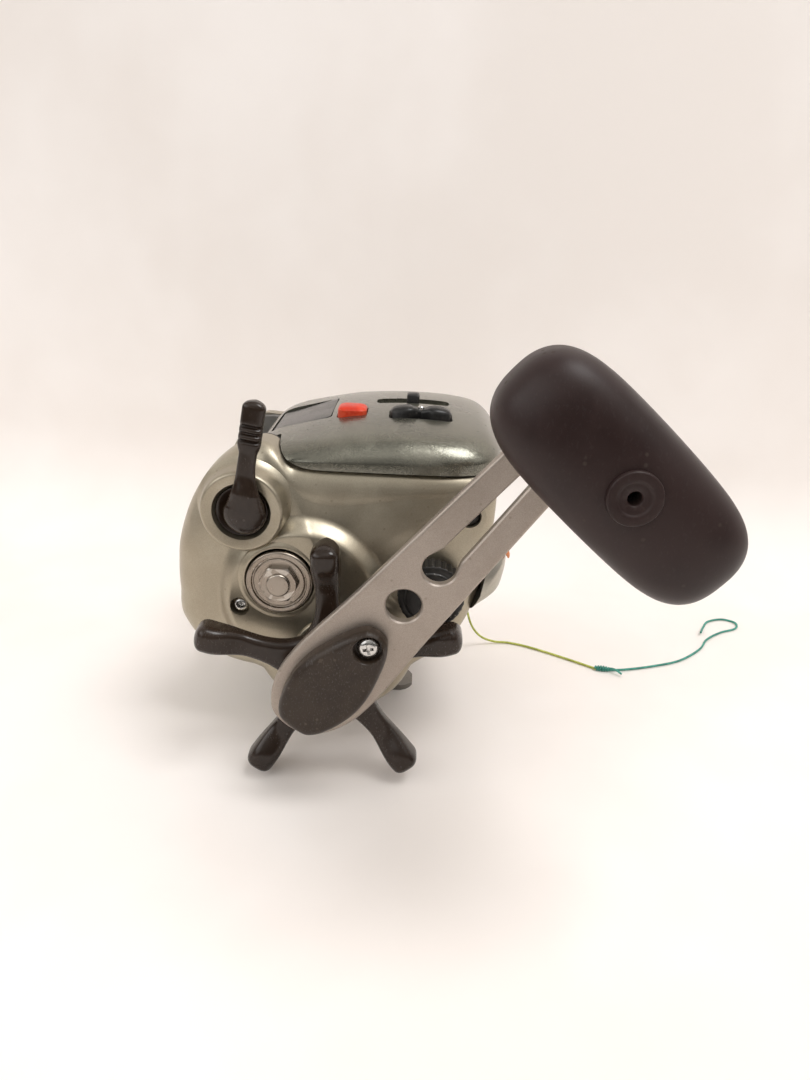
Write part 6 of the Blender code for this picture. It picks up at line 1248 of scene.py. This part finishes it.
# what each finish shows: colours run from dark to light over soft patches, roughness from low to high; hair is
# (stretch, how strong), grain is (scale, height), rings is (spot, pitch, height), worn and dust are (colour, amount),
# flake is (scale, tilt, how much paler or darker); heights are in micrometres
shared = {"edgesFrom": 0.53, "speckScale": 650.0, "speckShare": 0.05, "hairShare": 0.60, "hairDepth": 18,
          "coatRough": 0.08}
looks = {
    "champagne_shell": dict(dark=(0.35, 0.306, 0.232), light=(0.425, 0.382, 0.298), metal=0.88, rough=(0.34, 0.4),
        coat=0.12, flake=(5200, 0.035, 0.07), hair=((900, 120, 1400), 0.02), grain=(3000, 1.2),
        worn=((0.55, 0.51, 0.43), 0.1), dust=((0.16, 0.14, 0.11), 0.3), patch=26),
    "light_silver": dict(dark=(0.41, 0.385, 0.33), light=(0.5, 0.475, 0.41), metal=0.78, rough=(0.3, 0.36), coat=0.3,
        flake=(5200, 0.035, 0.07), hair=((300, 900, 900), 0.04), grain=(3000, 3.0), worn=((0.6, 0.57, 0.5), 0.15),
        dust=((0.22, 0.2, 0.16), 0.3), patch=40),
    "arm_silver": dict(dark=(0.335, 0.288, 0.248), light=(0.39, 0.338, 0.295), metal=0.8, rough=(0.38, 0.45),
        flake=(6500, 0.04, 0.09), hair=((350, 1500, 500), 0.05), grain=(5200, 6.0), worn=((0.62, 0.58, 0.53), 0.06),
        dust=((0.22, 0.19, 0.16), 0.3), patch=55),
    "pearl_grey": dict(dark=(0.15, 0.146, 0.118), light=(0.205, 0.198, 0.16), metal=0.8, rough=(0.25, 0.31),
        coat=0.35, flake=(4200, 0.1, 0.16), hair=((1100, 160, 900), 0.03), grain=(1900, 16),
        worn=((0.3, 0.29, 0.25), 0.15), dust=((0.05, 0.05, 0.045), 0.3), patch=40),
    "knurl_black": dict(dark=(0.01, 0.0092, 0.0085), light=(0.018, 0.0165, 0.015), rough=(0.34, 0.5),
        grain=(3600, 10), worn=((0.17, 0.155, 0.14), 0.85), dust=((0.1, 0.09, 0.08), 0.3), patch=160),
    "brown_plastic": dict(dark=(0.019, 0.011, 0.007), light=(0.029, 0.018, 0.012), rough=(0.18, 0.25), shine=0.38,
        hair=((700, 2200, 1300), 0.05), grain=(3400, 3.0), worn=((0.05, 0.036, 0.029), 0.35),
        dust=((0.12, 0.1, 0.08), 0.2), patch=60),
    "satin_brown": dict(dark=(0.0215, 0.011, 0.0102), light=(0.03, 0.0165, 0.0152), rough=(0.38, 0.46), shine=0.28,
        hair=((500, 1700, 1100), 0.04), grain=(4200, 10), worn=((0.05, 0.036, 0.03), 0.35),
        dust=((0.12, 0.1, 0.08), 0.2), patch=50),
    "worn_brown": dict(dark=(0.024, 0.015, 0.0095), light=(0.036, 0.024, 0.016), rough=(0.3, 0.42), shine=0.32,
        hair=((900, 2600, 1500), 0.3), grain=(3400, 8.0), worn=((0.095, 0.072, 0.055), 0.5),
        dust=((0.18, 0.14, 0.11), 0.3), patch=110),
    "black_plastic": dict(dark=(0.0075, 0.0072, 0.007), light=(0.013, 0.0122, 0.0118), rough=(0.28, 0.38), shine=0.35,
        hair=((900, 1900, 900), 0.06), grain=(4600, 10), worn=((0.055, 0.05, 0.046), 0.45),
        dust=((0.12, 0.11, 0.1), 0.3), patch=120),
    # painted shade: the reel foot, light silver in its record, gets a dark grey so that it reads as the shade under the
    # body
    "foot_painted_shade": dict(dark=(0.085, 0.08, 0.072), light=(0.125, 0.118, 0.106), metal=0.85, rough=(0.36, 0.46),
        hair=((400, 1500, 800), 0.1), grain=(3600, 12), worn=((0.34, 0.32, 0.29), 0.5), dust=((0.12, 0.11, 0.1), 0.3),
        patch=90),
    "cap_steel": dict(dark=(0.27, 0.228, 0.188), light=(0.34, 0.297, 0.252), metal=1.0, rough=(0.2, 0.28),
        rings=("spool", 16000, 2.5), grain=(5200, 1.0), hair=((900, 900, 2500), 0.06), worn=((0.66, 0.62, 0.57), 0.5),
        dust=((0.1, 0.075, 0.06), 0.3), patch=110),
    "red_button": dict(dark=(0.55, 0.026, 0.008), light=(0.68, 0.044, 0.012), rough=(0.3, 0.4), shine=0.3,
        hair=((900, 1500, 900), 0.08), grain=(3600, 16), worn=((0.78, 0.15, 0.07), 0.4),
        dust=((0.12, 0.03, 0.02), 0.4), patch=300),
    "orange_trim": dict(dark=(0.52, 0.125, 0.018), light=(0.68, 0.2, 0.04), rough=(0.26, 0.4), coat=0.3,
        grain=(3600, 14), worn=((0.82, 0.38, 0.16), 0.4), dust=((0.18, 0.07, 0.02), 0.35), patch=200),
    "steel": dict(dark=(0.46, 0.425, 0.405), light=(0.6, 0.565, 0.535), metal=1.0, rough=(0.24, 0.36),
        rings=("spool", 26000, 6.0), grain=(5200, 6.0), hair=((900, 900, 2500), 0.08), worn=((0.74, 0.71, 0.68), 0.5),
        dust=((0.15, 0.12, 0.1), 0.35), patch=260),
    "chrome": dict(dark=(0.52, 0.51, 0.5), light=(0.66, 0.65, 0.63), metal=1.0, rough=(0.1, 0.22),
        hair=((1500, 2500, 1500), 0.15), grain=(5200, 5.0), worn=((0.78, 0.77, 0.75), 0.3),
        dust=((0.1, 0.08, 0.06), 0.5), patch=420),
    "dark_metal": dict(dark=(0.03, 0.029, 0.029), light=(0.05, 0.048, 0.046), metal=0.55, rough=(0.38, 0.52),
        hair=((500, 1400, 700), 0.1), grain=(3600, 16), worn=((0.3, 0.29, 0.28), 0.5), dust=((0.13, 0.12, 0.11), 0.3),
        patch=90),
    "spool_metal": dict(dark=(0.4, 0.4, 0.4), light=(0.56, 0.56, 0.55), metal=1.0, rough=(0.22, 0.34),
        rings=("spool", 21000, 6.0), grain=(5200, 4.0), worn=((0.7, 0.7, 0.69), 0.5), dust=((0.16, 0.15, 0.13), 0.3),
        patch=120),
    "brass": dict(dark=(0.4, 0.27, 0.085), light=(0.56, 0.41, 0.16), metal=1.0, rough=(0.24, 0.38),
        rings=("shaft", 24000, 6.0), grain=(4600, 5.0), worn=((0.72, 0.58, 0.3), 0.5), dust=((0.1, 0.07, 0.03), 0.4),
        patch=150),
    "fibre": dict(dark=(0.045, 0.04, 0.036), light=(0.085, 0.077, 0.07), rough=(0.62, 0.8), grain=(5200, 40),
        hair=((2600, 2600, 500), 0.35), worn=((0.14, 0.13, 0.12), 0.4), patch=260),
    "window": dict(dark=(0.005, 0.005, 0.006), light=(0.009, 0.01, 0.01), rough=(0.1, 0.2), shine=0.25,
        hair=((900, 2100, 900), 0.1), dust=((0.2, 0.19, 0.18), 0.25), patch=110),
    "panel": dict(dark=(0.085, 0.105, 0.075), light=(0.12, 0.145, 0.105), rough=(0.25, 0.35), coat=0.2,
        grain=(5200, 6.0), hair=((4200, 60, 60), 0.2), patch=80),
    "board": dict(dark=(0.006, 0.034, 0.014), light=(0.014, 0.07, 0.03), rough=(0.28, 0.42), coat=0.3,
        grain=(3600, 12), hair=((140, 2600, 140), 0.3), worn=((0.3, 0.24, 0.1), 0.4), patch=420),
    "line": dict(dark=(0.36, 0.4, 0.055), light=(0.62, 0.66, 0.16), rough=(0.45, 0.62), braid=40,
        dust=((0.26, 0.26, 0.12), 0.3), patch=420),
    "teal_line": dict(dark=(0.03, 0.22, 0.17), light=(0.1, 0.42, 0.33), rough=(0.45, 0.62), braid=40,
        dust=((0.1, 0.22, 0.18), 0.3), patch=420),
    "motor_paint": dict(dark=(0.03, 0.031, 0.034), light=(0.052, 0.053, 0.057), metal=0.35, rough=(0.34, 0.5),
        coat=0.1, hair=((90, 1800, 1800), 0.12), grain=(3600, 16), worn=((0.25, 0.25, 0.25), 0.5),
        dust=((0.12, 0.11, 0.1), 0.3), patch=130),
}


def useGroup(tree, name, vector, **inputs):
    made = addNode(tree, "Group", node_tree=shaderGroups[name])
    for label, value in (("Vector", vector), *inputs.items()):
        feed(tree, made.inputs[label], value)
    return made.outputs


def makeMaterial(name, look):
    # the colour and roughness follow the masks of the look's groups, and each height is a Bump node upon the last
    material = bpy.data.materials.new(name)
    material.use_nodes = True
    tree = material.node_tree
    shader = tree.nodes["Principled BSDF"].inputs
    coords = addNode(tree, "TexCoord").outputs["Object"]
    patch = useGroup(tree, "softPatches", coords, Scale=look["patch"])["Mask"]
    colour = blendColours(tree, patch, look["dark"], look["light"])
    rough = spreadRange(tree, patch, 0, 1, *look["rough"])
    heights = []
    normal = None

    def part(mask, amount):
        return maths(tree, "MULTIPLY", mask, amount)

    def rougher(mask, amount):
        return maths(tree, "ADD", rough, part(mask, amount))

    if "flake" in look:
        scale, tilt, amount = look["flake"]
        flakes = useGroup(tree, "paintFlakes", coords, Scale=scale, Tilt=tilt)
        shade = spreadRange(tree, flakes["Glint"], 0, 1, 1 - amount, 1 + amount)
        tint = addNode(tree, "CombineColor", {"Red": shade, "Green": shade, "Blue": shade}).outputs["Color"]
        colour = blendColours(tree, 1.0, colour, tint, "MULTIPLY")
        normal = flakes["Normal"]
    if "rings" in look:
        spot, pitch, height = look["rings"]
        rings = useGroup(tree, "turningMarks", coords, Centre=(0, *spots[spot]), Pitch=pitch)
        rough = rougher(rings["Mask"], 0.08)
        heights.append((rings["Height"], height))
    if "grain" in look:
        scale, height = look["grain"]
        heights.append((useGroup(tree, "mouldGrain", coords, Scale=scale)["Height"], height))
    if "hair" in look:
        stretch, amount = look["hair"]
        hair = useGroup(tree, "hairScratches", coords, Stretch=stretch, Share=shared["hairShare"])
        paler = blendColours(tree, 1.0, colour, (0.10, 0.10, 0.10), "ADD")
        colour = blendColours(tree, part(hair["Mask"], amount), colour, paler)
        rough = rougher(hair["Mask"], amount)
        heights.append((hair["Height"], shared["hairDepth"] * amount))
    if "braid" in look:
        along = addNode(tree, "Attribute", attribute_name="along").outputs["Vector"]
        braid = useGroup(tree, "lineBraid", along)
        # painted shade: the line's colour darkens towards its dark tone in the grooves between strands
        colour = blendColours(tree, maths(tree, "SUBTRACT", 0.55, part(braid["Mask"], 0.5)), colour, look["dark"])
        heights.append((braid["Height"], look["braid"]))
    if "worn" in look:
        paint, amount = look["worn"]
        edges = useGroup(tree, "wornEdges", coords, Start=shared["edgesFrom"])["Mask"]
        colour = blendColours(tree, part(edges, amount), colour, paint)
    if "dust" in look:
        paint, amount = look["dust"]
        specks = useGroup(tree, "dustSpecks", coords, Scale=shared["speckScale"], Share=shared["speckShare"])["Mask"]
        colour = blendColours(tree, part(specks, amount), colour, paint)
        rough = rougher(specks, 0.2)
    feed(tree, shader["Base Color"], colour)
    feed(tree, shader["Roughness"], rough)
    for socket, value in (("Metallic", look.get("metal", 0.0)), ("Coat Weight", look.get("coat", 0.0)),
                          ("Coat Roughness", shared["coatRough"]), ("Specular IOR Level", look.get("shine", 0.5))):
        shader[socket].default_value = value
    for height, microns in heights:
        bump = addNode(tree, "Bump", {"Height": height, "Distance": microns * 1e-6, "Strength": 1.0})
        if normal is not None:
            feed(tree, bump.inputs["Normal"], normal)
        normal = bump.outputs["Normal"]
    feed(tree, shader["Normal"], normal)
    return material


materials = {slotName: makeMaterial(slotName, look) for slotName, look in looks.items()}
nodeSlots = {part["node"]: part["material_slot"] for part in frame["record"]["subparts"]}
# the reel foot is dressed in painted shade, a dark grey in place of its record's light silver
nodeSlots["reel_foot"] = "foot_painted_shade"


def dressNode(piece, slotName):
    # a carried solid keeps its mesh; modifiers merge its doubled corners and keep its sharp edges crisp
    piece.data.materials.clear()
    piece.data.materials.append(materials[slotName])
    merge = piece.modifiers.new("merge", "WELD")
    merge.merge_threshold = 0.000001
    split = piece.modifiers.new("crisp", "EDGE_SPLIT")
    split.split_angle = math.radians(32)
    piece.data.shade_smooth()


for node, piece in frame["nodes"].items():
    dressNode(piece, nodeSlots[node])
for name, slotName in dressed.items():
    piece = bpy.data.objects[name]
    piece.data.materials.clear()
    piece.data.materials.append(materials[ownLooks.get(name, slotName)])
print("materials made")

# floor, backdrop, world and lamps

stageLooks = {
    "tableDark": (0.88, 0.825, 0.785), "tableLight": (0.94, 0.895, 0.865), "wallPlace": -0.150, "wallBend": 0.050,
    "wallHeight": 1.6, "tableEdge": 0.42, "wallSlope": 0.10,
    "lamps": (("keyLamp", (0.25, 0.35, 0.95), 0.46, 4.9), ("fillLamp", (0.95, -0.75, 0.55), 0.90, 2.0),
              ("sideLamp", (0.35, -0.95, 0.60), 0.60, 1.6)),
}


def addSweep():
    # one sheet: a flat floor, a bend that turns up by a quarter circle, then a wall that is clear from behind
    bend, place = stageLooks["wallBend"], stageLooks["wallPlace"]
    turn = np.linspace(0, math.pi / 2, 13)
    curve = np.stack([place + bend - bend * np.sin(turn), bend - bend * np.cos(turn)], axis=-1)
    section = np.concatenate([[[stageLooks["tableEdge"], 0.0]], curve, [[place, stageLooks["wallHeight"]]]])
    across = np.array([-3.0, 3.0])
    slope = np.where(section[:, 0] > 0, 0, stageLooks["wallSlope"])
    points = [(x + lean * y, y, z) for (x, z), lean in zip(section, slope) for y in across]
    faces = [(2 * row, 2 * row + 1, 2 * row + 3, 2 * row + 2) for row in range(len(section) - 1)]
    mesh = bpy.data.meshes.new("sweep")
    mesh.from_pydata(points, [], faces)
    sweep = addObject("sweep", mesh)
    mesh.shade_smooth()
    material = bpy.data.materials.new("sweepCard")
    material.use_nodes = True
    tree = material.node_tree
    shader = tree.nodes["Principled BSDF"].inputs
    coords = addNode(tree, "TexCoord").outputs["Object"]
    cloud = useGroup(tree, "softPatches", coords, Scale=5.0)["Mask"]
    feed(tree, shader["Base Color"], blendColours(tree, cloud, stageLooks["tableDark"], stageLooks["tableLight"]))
    shader["Roughness"].default_value = 0.75
    behind = maths(tree, "MULTIPLY", addNode(tree, "NewGeometry").outputs["Backfacing"],
                   addNode(tree, "LightPath").outputs["Is Camera Ray"])
    clear = addNode(tree, "BsdfTransparent").outputs[0]
    through = addNode(tree, "MixShader", {0: behind, 1: tree.nodes["Principled BSDF"].outputs[0], 2: clear})
    tree.links.new(through.outputs[0], tree.nodes["Material Output"].inputs["Surface"])
    mesh.materials.append(material)


def addWorld():
    # a room: bright overhead, dim towards the floor, with soft patches so that metal has something to mirror
    world = bpy.data.worlds.new("studio")
    bpy.context.scene.world = world
    world.use_nodes = True
    tree = world.node_tree
    coords = addNode(tree, "TexCoord").outputs["Generated"]
    up = addNode(tree, "SeparateXYZ", {"Vector": coords}).outputs["Z"]
    patch = noiseAt(tree, coords, 1.6, 1.0)
    glow = maths(tree, "MULTIPLY", spreadRange(tree, up, 0.05, 0.80, 0.10, 1.10),
                 spreadRange(tree, patch, 0.35, 0.65, 0.55, 1.35))
    back = tree.nodes["Background"].inputs
    back["Color"].default_value = (1.0, 0.965, 0.92, 1)
    feed(tree, back["Strength"], glow)


def addLamps():
    for name, place, size, power in stageLooks["lamps"]:
        data = bpy.data.lights.new(name, "AREA")
        data.shape = "DISK"
        data.size = size
        data.energy = power
        lamp = addObject(name, data)
        lamp.visible_camera = False
        towards = (Vector((0.02, 0.01, 0.06)) - Vector(place)).to_track_quat("-Z", "Y").to_matrix().to_4x4()
        lamp.matrix_world = Matrix.Translation(place) @ towards
    bpy.context.scene.view_settings.view_transform = "Standard"


addSweep()
addWorld()
addLamps()
print("stage set")
